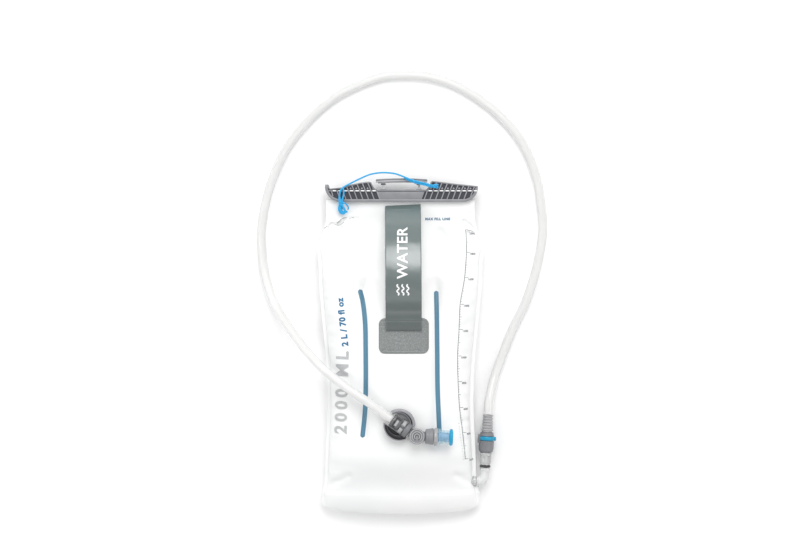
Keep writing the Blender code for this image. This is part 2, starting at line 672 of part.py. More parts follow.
# ---------------------------------------------------------------- bite valve
def make_valve():
    start, end = (Vector((x, y, VALVE_HEIGHT)) for x, y in (BARREL_START, BARREL_END))
    knob = Vector((*KNOB_AT, VALVE_HEIGHT))
    run = (end - start).normalized()
    length = (end - start).length
    barrel_axis = along("barrel_axis", start, run)
    rim = BARREL_R + 0.0009
    barrel = [(BARREL_R - 0.0007, length), (BARREL_R, length - 0.0008), (BARREL_R, 0.0042),
              (rim, 0.0036), (rim, 0.0008), (rim - 0.0008, 0.0)]
    turned("clip_barrel", sleeve(barrel, 0.0032), grey_mat, steps=22, parent=barrel_axis, closed=True)

    ring = finish("clip_ring", plate_mesh("clip_ring", crescent(), -0.0026, 0.0026), grey_mat)
    ring.matrix_world = Matrix.Translation(start) @ Matrix.Rotation(math.atan2(run.y, run.x), 4, "Z")
    collar_r = BARREL_R + 0.0019
    collar = turned("ring_collar", [(0, length - 0.0010), (collar_r, length - 0.0010),
                                    (collar_r, length - 0.0062), (0, length - 0.0062)],
                    steps=22, into=cutters, parent=barrel_axis)
    room = turned("barrel_room", [(0, length + 0.01), (BARREL_R + SLIP, length + 0.01),
                                  (BARREL_R + SLIP, -0.01), (0, -0.01)],
                  steps=22, into=cutters, parent=barrel_axis)
    combine(ring, collar, "UNION")
    combine(ring, room, "DIFFERENCE")

    body = turned("valve_elbow", [(0, 0.0060), (ELBOW_BODY_R - 0.0008, 0.0060), (ELBOW_BODY_R, 0.0052),
                                  (ELBOW_BODY_R, -0.0058), (ELBOW_BODY_R - 0.0012, -0.0072),
                                  (0, -0.0072)],
                  grey_mat, steps=22)
    body.location = knob
    inlet = (knob - end).normalized()
    inlet_axis = along("inlet_axis", end + run * GAP * 2, inlet)
    reach = (knob - end).length - 0.0010
    stub_in = turned("inlet_stub", [(0, reach), (0.0044, reach), (0.0044, 0.0006), (0, 0.0006)],
                     into=cutters, parent=inlet_axis)
    out = Vector((math.cos(OUTLET_TURN), math.sin(OUTLET_TURN), 0))
    out_axis = along("outlet_axis", knob, out)
    valve_axis = along("valve_axis", knob + out * OUTLET_START, out)
    swivel_at = OUTLET_START + 0.0032
    tip, groove = swivel_at + 0.0020, STUB_R - 0.0008
    stub_out = turned("outlet_stub", [(0, tip), (STUB_R, tip), (STUB_R, swivel_at + 0.0008),
                                      (groove, swivel_at + 0.0008), (groove, swivel_at - 0.0008),
                                      (STUB_R, swivel_at - 0.0008), (STUB_R, 0.0030), (0, 0.0030)],
                      into=cutters, parent=out_axis)
    well = turned("spindle_well", [(0, 0.0200), (SPINDLE_R + GAP, 0.0200), (SPINDLE_R + GAP, -0.0050),
                                   (0, -0.0050)], into=cutters)
    well.location = knob
    passage = turned("outlet_bore", [(0, 0.0200), (PASSAGE_R, 0.0200), (PASSAGE_R, 0), (0, 0)],
                     into=cutters, parent=out_axis)
    feed = turned("inlet_bore", [(0, reach), (PASSAGE_R, reach), (PASSAGE_R, -0.002), (0, -0.002)],
                  into=cutters, parent=inlet_axis)
    combine(body, stub_in, "UNION")
    combine(body, stub_out, "UNION")
    for hole in (well, passage, feed):
        combine(body, hole, "DIFFERENCE")

    spindle = turned("shutoff_spindle", [(0, 0.0062), (SPINDLE_R, 0.0062), (SPINDLE_R, -0.0046),
                                         (0, -0.0046)], grey_mat)
    spindle.location = knob
    way = turned("spindle_way", [(0, 0.010), (0.0020, 0.010), (0.0020, -0.010), (0, -0.010)],
                 into=cutters, parent=out_axis)
    combine(spindle, way, "DIFFERENCE")
    cap = turned("shutoff_knob", [(0, KNOB_HIGH), (KNOB_R - 0.0013, KNOB_HIGH), (KNOB_R, KNOB_HIGH - 0.0010),
                                  (KNOB_R, KNOB_LOW + 0.0007), (KNOB_R - 0.0007, KNOB_LOW),
                                  (0, KNOB_LOW)], grey_mat, steps=24)
    cap.location = knob

    # heights from here on are measured from where the bite valve begins
    socket = STUB_R + SLIP
    cone = [(0.0086, 0.0088), (0.0091, 0.0078), (0.0079, 0.0006), (0.0072, 0.0)]
    turned("valve_barrel", cone + [(socket, 0.0), (socket, 0.0060), (0.0030, 0.0060), (0.0030, 0.0088)],
           grey_mat, steps=22, parent=valve_axis, closed=True)
    turned("swivel_o_ring", ring_profile(STUB_R - 0.00035, 0.0032, 0.0004, 0.0005), rubber_mat,
           parent=valve_axis, closed=True)
    turned("valve_collar", sleeve([(0.0082, 0.0135), (0.0091, 0.0129), (0.0091, 0.0097),
                                   (0.0084, 0.0091)], 0.0036), grey_mat, steps=22,
           parent=valve_axis, closed=True)
    core = [(0.0046, 0.0285), (0.0046, 0.0263), (0.0040, 0.0243), (0.0040, 0.0158), (0.0056, 0.0151),
            (0.0056, 0.0138)]
    turned("mouthpiece_core", sleeve(core, 0.0018), blue_mat, parent=valve_axis, closed=True)
    sleeve_out = [(0.0080, 0.0295), (0.0089, 0.0287), (0.0089, 0.0267), (0.0076, 0.0251),
                  (0.0075, 0.0173), (0.0088, 0.0159), (0.0088, 0.0141), (0.0080, 0.0138)]
    turned("mouthpiece_sleeve", sleeve(sleeve_out, 0.0062), clear_mat, steps=22, parent=valve_axis,
           closed=True)


def crescent():
    """The clip's open ring seen from above, with the barrel running along +X from the origin."""
    cx, outer, inner = 0.0090, 0.0168, 0.0119
    turn = arc(cx, 0, outer, -150, 150, 30)
    back = arc(cx - 0.0006, 0, inner, 146, -146, 26)
    flat = 0.0216              # the ring's front, cut flat beside the elbow
    return [(min(x, flat), y) for x, y in turn] + back


# ---------------------------------------------------------------- cords
def fitted(points):
    """Hand-chosen points moved with the bag's width and length, the hose's radius and the valve's height."""
    wide, long = EAR_HALF / DRAWN_EAR, MOUTH_Y / DRAWN_MOUTH
    floor = HOSE_R + 0.0001
    tall = (VALVE_HEIGHT - floor) / (DRAWN_VALVE - DRAWN_FLOOR)
    return [(x * wide, y * long if y > 0 else y, floor + (z - DRAWN_FLOOR) * tall) for x, y, z in points]


def make_cords(up):
    first = Vector(COUPLING_AT) + up * (0.0575 + 2 * GAP)
    run = (Vector((*BARREL_END, 0)) - Vector((*BARREL_START, 0))).normalized()
    last = Vector((*BARREL_START, VALVE_HEIGHT)) - run * 2 * GAP
    route = [first, first + up * 0.0135] + fitted(HOSE_ROUTE) + [last - run * 0.0120, last]
    tube("hose", smooth_route(route, 0.0128), HOSE_R, hose_mat, resolution=3)

    ends = [Vector((x * EAR_HALF / DRAWN_EAR, y + MOUTH_Y - DRAWN_MOUTH, z)) for x, y, z in LANYARD_ROUTE]
    tube("lanyard", smooth_route(ends, 0.0045), LANYARD_R, cord_mat)
    for name, at, towards in (("lanyard_knot", ends[0], ends[1]), ("eyelet_knot", ends[-1], ends[-2])):
        bm = bmesh.new()
        bmesh.ops.create_uvsphere(bm, u_segments=12, v_segments=8, radius=KNOT_R)
        mesh = bpy.data.meshes.new(name)
        bm.to_mesh(mesh)
        bm.free()
        knot = finish(name, mesh, cord_mat)
        knot.location = at - (towards - at).normalized() * (KNOT_R + GAP)


make_panels()
make_gusset()
make_baffles()
make_rails()
make_handle()
make_slide_seal()
make_port()
coupling_up = make_coupling()
make_valve()
make_cords(coupling_up)
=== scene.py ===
import math
import bmesh
import bpy
from mathutils import Matrix, Vector, noise
from mathutils.bvhtree import BVHTree


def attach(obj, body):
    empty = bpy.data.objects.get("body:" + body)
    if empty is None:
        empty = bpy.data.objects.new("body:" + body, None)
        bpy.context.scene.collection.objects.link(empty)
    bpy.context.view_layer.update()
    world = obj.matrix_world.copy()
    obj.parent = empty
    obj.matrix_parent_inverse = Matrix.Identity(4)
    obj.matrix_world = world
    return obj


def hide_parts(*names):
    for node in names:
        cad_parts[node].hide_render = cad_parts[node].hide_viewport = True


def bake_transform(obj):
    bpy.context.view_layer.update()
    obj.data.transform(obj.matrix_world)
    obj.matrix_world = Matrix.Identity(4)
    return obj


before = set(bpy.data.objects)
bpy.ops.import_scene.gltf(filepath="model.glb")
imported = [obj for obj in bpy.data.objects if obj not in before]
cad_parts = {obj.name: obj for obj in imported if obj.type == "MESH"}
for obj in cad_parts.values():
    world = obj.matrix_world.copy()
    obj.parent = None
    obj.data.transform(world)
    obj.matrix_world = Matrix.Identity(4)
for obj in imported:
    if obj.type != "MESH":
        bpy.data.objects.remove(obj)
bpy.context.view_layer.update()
print("frame loaded:", len(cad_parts), "nodes")

scene = bpy.context.scene
stageSet = bpy.data.collections.new("stage")
pieceSet = bpy.data.collections.new("finishedPieces")
scene.collection.children.link(stageSet)
scene.collection.children.link(pieceSet)


# camera, straight above the flat lay
cameraSetup = {
    "centre": (-0.0005, 0.0812),   # the point of the floor under the lens
    "height": 2.425,
    "lens": 100.0,
    "sensor": 36.0,
}


def makeCamera(setup):
    lensData = bpy.data.cameras.new("flatLayCamera")
    lensData.lens = setup["lens"]
    lensData.sensor_width = setup["sensor"]
    lensData.clip_start = 0.05
    lensData.clip_end = 20
    camera = bpy.data.objects.new("flatLayCamera", lensData)
    camera.location = (*setup["centre"], setup["height"])
    stageSet.objects.link(camera)
    scene.camera = camera


makeCamera(cameraSetup)


# materials
def nodeMaterial(name, colour, roughness, **sockets):
    mat = bpy.data.materials.new(name)
    mat.use_nodes = True
    shader = mat.node_tree.nodes["Principled BSDF"]
    shader.inputs["Base Color"].default_value = (*colour, 1)
    shader.inputs["Roughness"].default_value = roughness
    for key, value in sockets.items():
        shader.inputs[key.replace("_", " ")].default_value = value
    return mat, mat.node_tree, shader


def addNoise(tree, scale, detail=3.0, rough=0.5):
    coords = tree.nodes.new("ShaderNodeTexCoord")
    grain = tree.nodes.new("ShaderNodeTexNoise")
    grain.inputs["Scale"].default_value = scale
    grain.inputs["Detail"].default_value = detail
    grain.inputs["Roughness"].default_value = rough
    tree.links.new(coords.outputs["Object"], grain.inputs["Vector"])
    return grain.outputs["Fac"]


def addRamp(tree, factor, stops):
    ramp = tree.nodes.new("ShaderNodeValToRGB")
    tree.links.new(factor, ramp.inputs["Fac"])
    points = ramp.color_ramp.elements
    while len(points) < len(stops):
        points.new(0.5)
    for point, (at, colour) in zip(points, stops):
        point.position = at
        point.color = (*colour, 1)
    return ramp.outputs["Color"]


def addRange(tree, factor, low, high):
    span = tree.nodes.new("ShaderNodeMapRange")
    span.inputs["To Min"].default_value = low
    span.inputs["To Max"].default_value = high
    tree.links.new(factor, span.inputs["Value"])
    return span.outputs["Result"]


def addBump(tree, shader, height, strength, distance):
    bump = tree.nodes.new("ShaderNodeBump")
    bump.inputs["Strength"].default_value = strength
    bump.inputs["Distance"].default_value = distance
    tree.links.new(height, bump.inputs["Height"])
    tree.links.new(bump.outputs["Normal"], shader.inputs["Normal"])


def shade(colour, amount):
    return tuple(min(1.0, c * amount) for c in colour)


# moulded parts: fine spark-eroded grain, slightly uneven gloss and tone
def mouldedPlastic(name, colour, roughness, grain=0.12, **sockets):
    mat, tree, shader = nodeMaterial(name, colour, roughness, **sockets)
    tone = addNoise(tree, 90, 4)
    tint = addRamp(tree, tone, [(0.30, shade(colour, 0.90)), (0.70, shade(colour, 1.10))])
    tree.links.new(tint, shader.inputs["Base Color"])
    gloss = addRange(tree, addNoise(tree, 260, 3), roughness - 0.07, roughness + 0.09)
    tree.links.new(gloss, shader.inputs["Roughness"])
    addBump(tree, shader, addNoise(tree, 4200, 2), grain, 0.00012)
    return mat


# clear and milky parts: light passes, so the tone varies little
def clearPlastic(name, colour, roughness, transmission, **sockets):
    mat, tree, shader = nodeMaterial(name, colour, roughness, **sockets)
    shader.inputs["Transmission Weight"].default_value = transmission
    shader.inputs["IOR"].default_value = 1.42
    gloss = addRange(tree, addNoise(tree, 140, 3), roughness - 0.05, roughness + 0.06)
    tree.links.new(gloss, shader.inputs["Roughness"])
    addBump(tree, shader, addNoise(tree, 900, 2), 0.05, 0.0002)
    return mat


def filmMaterial():
    colour = (0.95, 0.955, 0.955)
    mat, tree, shader = nodeMaterial("milkyFilm", colour, 0.36)
    shader.inputs["Transmission Weight"].default_value = 0.08
    shader.inputs["IOR"].default_value = 1.40
    shader.inputs["Coat Weight"].default_value = 0.18
    shader.inputs["Coat Roughness"].default_value = 0.22
    tint = addRamp(tree, addNoise(tree, 14, 3), [(0.35, (0.925, 0.935, 0.938)), (0.65, (0.965, 0.968, 0.962))])
    tree.links.new(tint, shader.inputs["Base Color"])
    gloss = addRange(tree, addNoise(tree, 40, 4), 0.29, 0.44)
    tree.links.new(gloss, shader.inputs["Roughness"])
    addBump(tree, shader, addNoise(tree, 1500, 3), 0.10, 0.0002)
    return mat


def strapMaterial():
    colour = (0.072, 0.098, 0.096)
    mat, tree, shader = nodeMaterial("strapFilm", colour, 0.30)
    shader.inputs["Coat Weight"].default_value = 1.0
    shader.inputs["Coat IOR"].default_value = 1.8
    shader.inputs["Coat Roughness"].default_value = 0.29
    coords = tree.nodes.new("ShaderNodeTexCoord")
    parts = tree.nodes.new("ShaderNodeSeparateXYZ")
    tree.links.new(coords.outputs["Object"], parts.inputs["Vector"])
    along = tree.nodes.new("ShaderNodeMapRange")
    along.inputs["From Min"].default_value = 0.015
    along.inputs["From Max"].default_value = 0.155
    tree.links.new(parts.outputs["Y"], along.inputs["Value"])
    # painted shade and highlight: the strap's colour runs darker toward its foot (low y) and lighter toward its
    # top, standing in for how the key light falls along its slope
    tint = addRamp(tree, along.outputs["Result"], [(0.0, shade(colour, 0.66)), (0.35, shade(colour, 1.22)),
                                                   (0.60, shade(colour, 1.38)), (1.0, shade(colour, 1.75))])
    tree.links.new(tint, shader.inputs["Base Color"])
    gloss = addRange(tree, addNoise(tree, 120, 3), 0.24, 0.38)
    tree.links.new(gloss, shader.inputs["Roughness"])
    addBump(tree, shader, addNoise(tree, 1100, 3), 0.10, 0.0003)
    return mat


# the welded patch is embossed by a textured die, which leaves pale specks
def patchMaterial():
    colour = (0.215, 0.232, 0.230)
    mat, tree, shader = nodeMaterial("patchFilm", colour, 0.42)
    speck = addNoise(tree, 780, 4, rough=0.6)
    tint = addRamp(tree, speck, [(0.34, shade(colour, 0.86)), (0.52, colour), (0.70, shade(colour, 1.42))])
    tree.links.new(tint, shader.inputs["Base Color"])
    addBump(tree, shader, speck, 0.22, 0.0004)
    return mat


def cordMaterial():
    colour = (0.003, 0.390, 0.800)
    mat, tree, shader = nodeMaterial("braidedCord", colour, 0.55)
    shader.inputs["Sheen Weight"].default_value = 0.25
    coords = tree.nodes.new("ShaderNodeTexCoord")
    braid = tree.nodes.new("ShaderNodeTexWave")
    braid.wave_type = "BANDS"
    braid.bands_direction = "DIAGONAL"
    braid.inputs["Scale"].default_value = 420
    braid.inputs["Distortion"].default_value = 1.6
    braid.inputs["Detail"].default_value = 1.0
    tree.links.new(coords.outputs["Object"], braid.inputs["Vector"])
    tint = addRamp(tree, braid.outputs["Fac"], [(0.15, (0.002, 0.260, 0.620)), (0.55, colour),
                                                (0.95, (0.020, 0.560, 0.920))])
    tree.links.new(tint, shader.inputs["Base Color"])
    addBump(tree, shader, braid.outputs["Fac"], 0.5, 0.0003)
    return mat


def rubberMaterial():
    mat, tree, shader = nodeMaterial("sealRubber", (0.035, 0.036, 0.040), 0.55)
    tint = addRamp(tree, addNoise(tree, 300, 3), [(0.3, (0.028, 0.029, 0.032)), (0.7, (0.050, 0.051, 0.056))])
    tree.links.new(tint, shader.inputs["Base Color"])
    addBump(tree, shader, addNoise(tree, 2600, 2), 0.12, 0.0001)
    return mat


# silk-screened ink, a little uneven where it crosses the film's grain
def inkMaterial(name, colour):
    mat, tree, shader = nodeMaterial(name, colour, 0.45)
    tint = addRamp(tree, addNoise(tree, 1400, 2), [(0.3, shade(colour, 0.88)), (0.7, shade(colour, 1.12))])
    tree.links.new(tint, shader.inputs["Base Color"])
    return mat


looks = {
    "film": filmMaterial(),
    "strap": strapMaterial(),
    "patch": patchMaterial(),
    "grey": mouldedPlastic("greyPlastic", (0.190, 0.194, 0.208), 0.38, Coat_Weight=0.15),
    "greySoft": mouldedPlastic("greyRubber", (0.380, 0.380, 0.388), 0.32, grain=0.2, Coat_Weight=0.3),
    # painted shade: a dark grey laid in the seal's sunk fields and under the bridge bar, where shade falls
    "paintedShadeGrey": mouldedPlastic("paintedShadeDark", (0.040, 0.042, 0.056), 0.55),
    "paintedHollowShade": mouldedPlastic("hollowShade", (0.012, 0.012, 0.015), 0.50),
    "greySeal": mouldedPlastic("sealPlastic", (0.232, 0.237, 0.252), 0.38, Coat_Weight=0.15),
    "greyMid": mouldedPlastic("barrelGreyAndKnobGapShade", (0.125, 0.128, 0.135), 0.30, Coat_Weight=0.5),
    # painted highlight: a lighter copy of the seal's grey for raised ribs and rims that catch the light
    "raisedHighlightGrey": mouldedPlastic("raisedHighlightPlastic", (0.300, 0.300, 0.325), 0.34, Coat_Weight=0.2),
    # painted highlight: a paler copy of the moulded grey, laid where light catches raised parts
    "highlightGrey": mouldedPlastic("paintedHighlightPlastic", (0.430, 0.432, 0.445), 0.30, Coat_Weight=0.3),
    "blue": mouldedPlastic("bluePlastic", (0.001, 0.280, 0.470), 0.34, Coat_Weight=0.2),
    "clear": clearPlastic("clearPlastic", (0.93, 0.935, 0.935), 0.14, 0.70),
    "softClear": clearPlastic("clearSilicone", (0.97, 0.975, 0.975), 0.30, 0.35, Alpha=0.55),
    "biteClear": clearPlastic("biteSilicone", (0.60, 0.90, 0.97), 0.20, 0.30, Alpha=0.30),
    "biteBlue": clearPlastic("biteTint", (0.02, 0.46, 0.76), 0.20, 0.30),
    "biteCore": mouldedPlastic("biteCore", (0.001, 0.150, 0.480), 0.26, Coat_Weight=0.5),
    "hose": clearPlastic("hoseWall", (0.925, 0.928, 0.918), 0.22, 0.30, Coat_Weight=0.3),
    "cord": cordMaterial(),
    "rubber": rubberMaterial(),
    "steel": mouldedPlastic("springWire", (0.62, 0.62, 0.63), 0.28, Metallic=1.0),
    "inkBlue": inkMaterial("inkBlue", (0.012, 0.140, 0.290)),
    "inkDeep": inkMaterial("inkDeep", (0.035, 0.150, 0.260)),
    "foldShade": inkMaterial("foldShade", (0.300, 0.310, 0.305)),
    "inkTeal": inkMaterial("inkLine", (0.082, 0.215, 0.315)),
    "inkGrey": inkMaterial("inkGrey", (0.100, 0.110, 0.130)),
    "inkPale": inkMaterial("inkPale", (0.215, 0.228, 0.240)),
    "whiteInkAndRidgeGlint": inkMaterial("whiteInkAndRidgeGlint", (0.920, 0.930, 0.930)),
}
print("materials ready:", len(looks))


# building helpers
def addPiece(name, bm, mat, body, replaced=(), smoothAngle=40):
    mesh = bpy.data.meshes.new(name)
    bm.to_mesh(mesh)
    bm.free()
    mesh.materials.append(mat)
    mesh.shade_smooth()
    mesh.set_sharp_from_angle(angle=math.radians(smoothAngle))
    piece = bpy.data.objects.new(name, mesh)
    pieceSet.objects.link(piece)
    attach(piece, body)
    if replaced:
        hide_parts(*replaced)
    return piece


def meshFrom(obj, bm, matrix=None):
    seen = obj.evaluated_get(bpy.context.evaluated_depsgraph_get())
    mesh = bpy.data.meshes.new_from_object(seen)
    if matrix is not None:
        mesh.transform(matrix)
    bm.from_mesh(mesh)
    bpy.data.meshes.remove(mesh)


def axisMatrix(start, direction):
    z = Vector(direction).normalized()
    x = z.cross(Vector((0, 0, 1))).normalized()
    return Matrix.Translation(start) @ Matrix((x, z.cross(x), z)).transposed().to_4x4()


# rounds the corners of an outline; radius may be one number or one for each corner
def softCorners(points, radius, steps=4, closed=True):
    count = len(points)
    made = []
    for i, point in enumerate(points):
        here = Vector(point)
        r = radius[i] if hasattr(radius, "__len__") else radius
        if r <= 0 or (not closed and i in (0, count - 1)):
            made.append(tuple(here))
            continue
        before, after = Vector(points[i - 1]), Vector(points[(i + 1) % count])
        a = here + (before - here).normalized() * min(r, (before - here).length * 0.48)
        b = here + (after - here).normalized() * min(r, (after - here).length * 0.48)
        for k in range(steps + 1):
            t = k / steps
            made.append(tuple(a.lerp(here, t).lerp(here.lerp(b, t), t)))
    return made


# a profile of (radius, height) points spun about the axis, closed on itself or onto the axis
def addTurned(bm, profile, matrix, steps=48, soften=0.0, closed=True):
    points = softCorners(profile, soften, 3, closed) if soften else profile
    part = bmesh.new()
    verts = [part.verts.new((r, 0, z)) for r, z in points]
    edges = [part.edges.new(pair) for pair in zip(verts, verts[1:])]
    if closed:
        edges.append(part.edges.new((verts[-1], verts[0])))
    bmesh.ops.spin(part, geom=verts + edges, cent=(0, 0, 0), axis=(0, 0, 1), dvec=(0, 0, 0),
                   angle=2 * math.pi, steps=steps, use_merge=True, use_duplicate=False)
    bmesh.ops.remove_doubles(part, verts=part.verts, dist=0.000002)
    bmesh.ops.recalc_face_normals(part, faces=part.faces)
    joinInto(bm, part, matrix)


def joinInto(bm, part, matrix=None):
    if matrix is not None:
        bmesh.ops.transform(part, matrix=matrix, verts=part.verts)
    mesh = bpy.data.meshes.new("joining")
    part.to_mesh(mesh)
    part.free()
    bm.from_mesh(mesh)
    bpy.data.meshes.remove(mesh)


# a flat outline raised from low to high, its rims bevelled
def addSlab(bm, outline, low, high, bevel=0.0, segments=2, matrix=None):
    part = bmesh.new()
    face = part.faces.new([part.verts.new((x, y, low)) for x, y in outline])
    grown = bmesh.ops.extrude_face_region(part, geom=[face])["geom"]
    top = [g for g in grown if isinstance(g, bmesh.types.BMVert)]
    bmesh.ops.translate(part, verts=top, vec=(0, 0, high - low))
    bmesh.ops.recalc_face_normals(part, faces=part.faces)
    if bevel:
        rims = [e for e in part.edges if abs(e.verts[0].co.z - e.verts[1].co.z) < 1e-7]
        bmesh.ops.bevel(part, geom=rims, offset=bevel, offset_type="OFFSET", segments=segments,
                        profile=0.5, affect="EDGES", material=-1, clamp_overlap=True)
    joinInto(bm, part, matrix)


def addBlock(bm, low, high, bevel=0.0, matrix=None, segments=2):
    part = bmesh.new()
    bmesh.ops.create_cube(part, size=1.0)
    low, high = Vector(low), Vector(high)
    bmesh.ops.scale(part, vec=high - low, verts=part.verts)
    bmesh.ops.translate(part, vec=(high + low) / 2, verts=part.verts)
    if bevel:
        bmesh.ops.bevel(part, geom=list(part.edges), offset=bevel, offset_type="OFFSET",
                        segments=segments, profile=0.5, affect="EDGES", material=-1, clamp_overlap=True)
    joinInto(bm, part, matrix)


def arcPoints(cx, cy, r, start, stop, steps):
    return [(cx + r * math.cos(math.radians(start + (stop - start) * k / steps)),
             cy + r * math.sin(math.radians(start + (stop - start) * k / steps))) for k in range(steps + 1)]


# even points on a smooth curve through a route's own points
def smoothRoute(points, spacing):
    pts = [Vector(p) for p in points]
    pts = [2 * pts[0] - pts[1]] + pts + [2 * pts[-1] - pts[-2]]
    fine = []
    for a, b, c, d in zip(pts, pts[1:], pts[2:], pts[3:]):
        for k in range(24):
            t = k / 24
            fine.append(0.5 * (2 * b + (c - a) * t + (2 * a - 5 * b + 4 * c - d) * t * t
                               + (3 * b - a - 3 * c + d) * t ** 3))
    fine.append(pts[-2])
    total = sum((b - a).length for a, b in zip(fine, fine[1:]))
    count = max(2, round(total / spacing))
    made, walked, want = [fine[0]], 0.0, total / count
    for a, b in zip(fine, fine[1:]):
        step = (b - a).length
        while len(made) < count and walked + step >= want * len(made):
            made.append(a.lerp(b, (want * len(made) - walked) / step))
        walked += step
    return made + [fine[-1]]


def routeLength(points):
    return sum((Vector(b) - Vector(a)).length for a, b in zip(points, points[1:]))


def curveTube(name, points, radius, mat, resolution=6):
    curve = bpy.data.curves.new(name, "CURVE")
    curve.dimensions = "3D"
    curve.bevel_depth = radius
    curve.bevel_resolution = resolution
    curve.use_fill_caps = True
    spline = curve.splines.new("POLY")
    spline.points.add(len(points) - 1)
    for p, co in zip(spline.points, points):
        p.co = (*co, 1)
    spline.use_smooth = True
    curve.materials.append(mat)
    tube = bpy.data.objects.new(name, curve)
    pieceSet.objects.link(tube)
    return tube


# cords first: the drinking hose and the lanyard, on the routes of the frame
hoseSetup = {
    "radius": 0.0047,
    "start": (0.0917 + math.sin(math.radians(3.4)) * 0.0581, -0.1315 + math.cos(math.radians(3.4)) * 0.0581,
              0.0135),
    "startRun": (math.sin(math.radians(3.4)), math.cos(math.radians(3.4)), 0.0),
    "end": (-0.0090, -0.0765, 0.0605),
    "endRun": (0.81820, -0.57495, 0.0),
    "route": [
        (0.0984, -0.0480, 0.0108), (0.1030, -0.0310, 0.0066), (0.1110, -0.0100, 0.0051),
        (0.1220, 0.0180, 0.0048), (0.1350, 0.0450, 0.0048), (0.1450, 0.0730, 0.0048),
        (0.1520, 0.1030, 0.0048), (0.1550, 0.1290, 0.0048), (0.1530, 0.1550, 0.0048),
        (0.1480, 0.1840, 0.0048), (0.1350, 0.2170, 0.0048), (0.1160, 0.2430, 0.0048),
        (0.0900, 0.2660, 0.0048), (0.0600, 0.2840, 0.0048), (0.0310, 0.2930, 0.0048),
        (0.0050, 0.2950, 0.0048), (-0.0210, 0.2930, 0.0048), (-0.0510, 0.2820, 0.0048),
        (-0.0770, 0.2670, 0.0048), (-0.1030, 0.2430, 0.0048), (-0.1260, 0.2120, 0.0048),
        (-0.1420, 0.1740, 0.0048), (-0.1500, 0.1380, 0.0048), (-0.1510, 0.1090, 0.0052),
        (-0.1470, 0.0770, 0.0080), (-0.1370, 0.0470, 0.0150), (-0.1210, 0.0220, 0.0270),
        (-0.1010, -0.0040, 0.0410), (-0.0790, -0.0260, 0.0530), (-0.0530, -0.0455, 0.0592),
        (-0.0300, -0.0610, 0.0605),
    ],
}


def makeHose(setup):
    startRun, endRun = Vector(setup["startRun"]), Vector(setup["endRun"])
    first = Vector(setup["start"])
    last = Vector(setup["end"]) - endRun * 0.0006
    points = [first, first + startRun * 0.0135] + setup["route"] + [last - endRun * 0.0120, last]
    points = smoothRoute(points, 0.0045)
    hose = curveTube("drinkingHose", points, setup["radius"], looks["hose"], 7)
    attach(hose, "hose_set")
    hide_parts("hose")
    return hose, first, routeLength(points)


hose, hoseExit, hoseLength = makeHose(hoseSetup)
print("hose laid:", round(hoseLength, 3), "m")


# the bag's form: lofted film panels round the water
bagSetup = {
    "film": 0.0005,
    "weld": 0.0003,              # half the gap between the lips in the frame
    "lip": 0.0042,
    "baseY": -0.1600,
    "mouthY": 0.1592,
    "halfWidths": [(-0.160, 0.0850), (-0.138, 0.0820), (-0.058, 0.0790), (0.104, 0.0895), (0.142, 0.0805)],
    "seamHeights": [(-0.160, 0.0135), (0.0, 0.0200), (0.142, 0.0178)],
    "crowns": [(-0.160, 0.0338), (-0.115, 0.0520), (0.030, 0.0520), (0.142, 0.0191)],
    "undersides": [(-0.160, 0.0030), (-0.140, 0.0), (0.085, 0.0), (0.142, 0.0165)],
    "lineX": 0.0385,
    "lineEnds": (-0.095, 0.060),
    "linePull": 0.0070,
    "lineFade": 0.020,
    "lineDips": [(0.72, 0.012), (0.28, 0.0035)],   # share and width of the dip: a broad one and a sharp one
    "ears": [(0.105, 0.0022, 0.0075), (-0.1605, 0.0016, 0.0050)],
    # creases pressed into the front: start, end, depth, width
    "creases": [
        ((-0.0835, 0.1262), (-0.0740, 0.1322), 0.0030, 0.0019),
        ((-0.0745, 0.1320), (-0.0665, 0.1332), 0.0026, 0.0015),
        ((-0.0668, 0.1330), (-0.0610, 0.1380), 0.0026, 0.0014),
        ((-0.0610, 0.1384), (-0.0460, 0.1386), 0.0014, 0.0018),
        ((-0.0690, 0.1300), (-0.0620, 0.1352), 0.0018, 0.0014),
        ((0.0560, 0.1376), (0.0700, 0.1352), 0.0009, 0.0020),
        ((0.0690, 0.1352), (0.0810, 0.1276), 0.0024, 0.0020),
        ((0.0690, 0.1478), (0.0775, 0.1432), 0.0009, 0.0016),
        ((-0.0560, 0.1190), (-0.0400, 0.1040), 0.0011, 0.0040),
        ((0.0440, 0.1240), (0.0580, 0.1020), 0.0010, 0.0042),
        ((-0.0790, -0.1500), (-0.0560, -0.1390), 0.0012, 0.0034),
        ((0.0600, -0.1380), (0.0790, -0.1480), 0.0012, 0.0034),
        ((-0.0740, -0.0250), (-0.0560, -0.0330), 0.0008, 0.0036),
        ((0.0560, 0.0180), (0.0740, 0.0260), 0.0008, 0.0036),
    ],
    "pucker": 0.0013,            # height of the folds beside the seams
    "sag": 0.0011,               # depth of the slow dents
    "baseReach": 0.0212,         # how far the gusset stands out past the base seam
    "baseCorner": 0.38,          # smaller is squarer
    "lipShare": 0.04,            # share of a sheet's columns in each lip
    "frontGrid": (150, 230), "backGrid": (100, 150), "gussetGrid": (130, 38),
}


def through(points, at):
    if at <= points[0][0]:
        return points[0][1]
    for (a, fa), (b, fb) in zip(points, points[1:]):
        if at <= b:
            t = (at - a) / (b - a)
            return fa + (fb - fa) * t * t * (3 - 2 * t)
    return points[-1][1]


def halfWidth(y):
    width = through(bagSetup["halfWidths"], y)
    for at, out, spread in bagSetup["ears"]:
        width += out * math.exp(-abs((y - at) / spread) ** 1.5) - out * 0.35 * math.exp(-((y - at) / 0.02) ** 2)
    return width + 0.00035 * noise.noise(Vector((y * 130, 3.1, 0)))


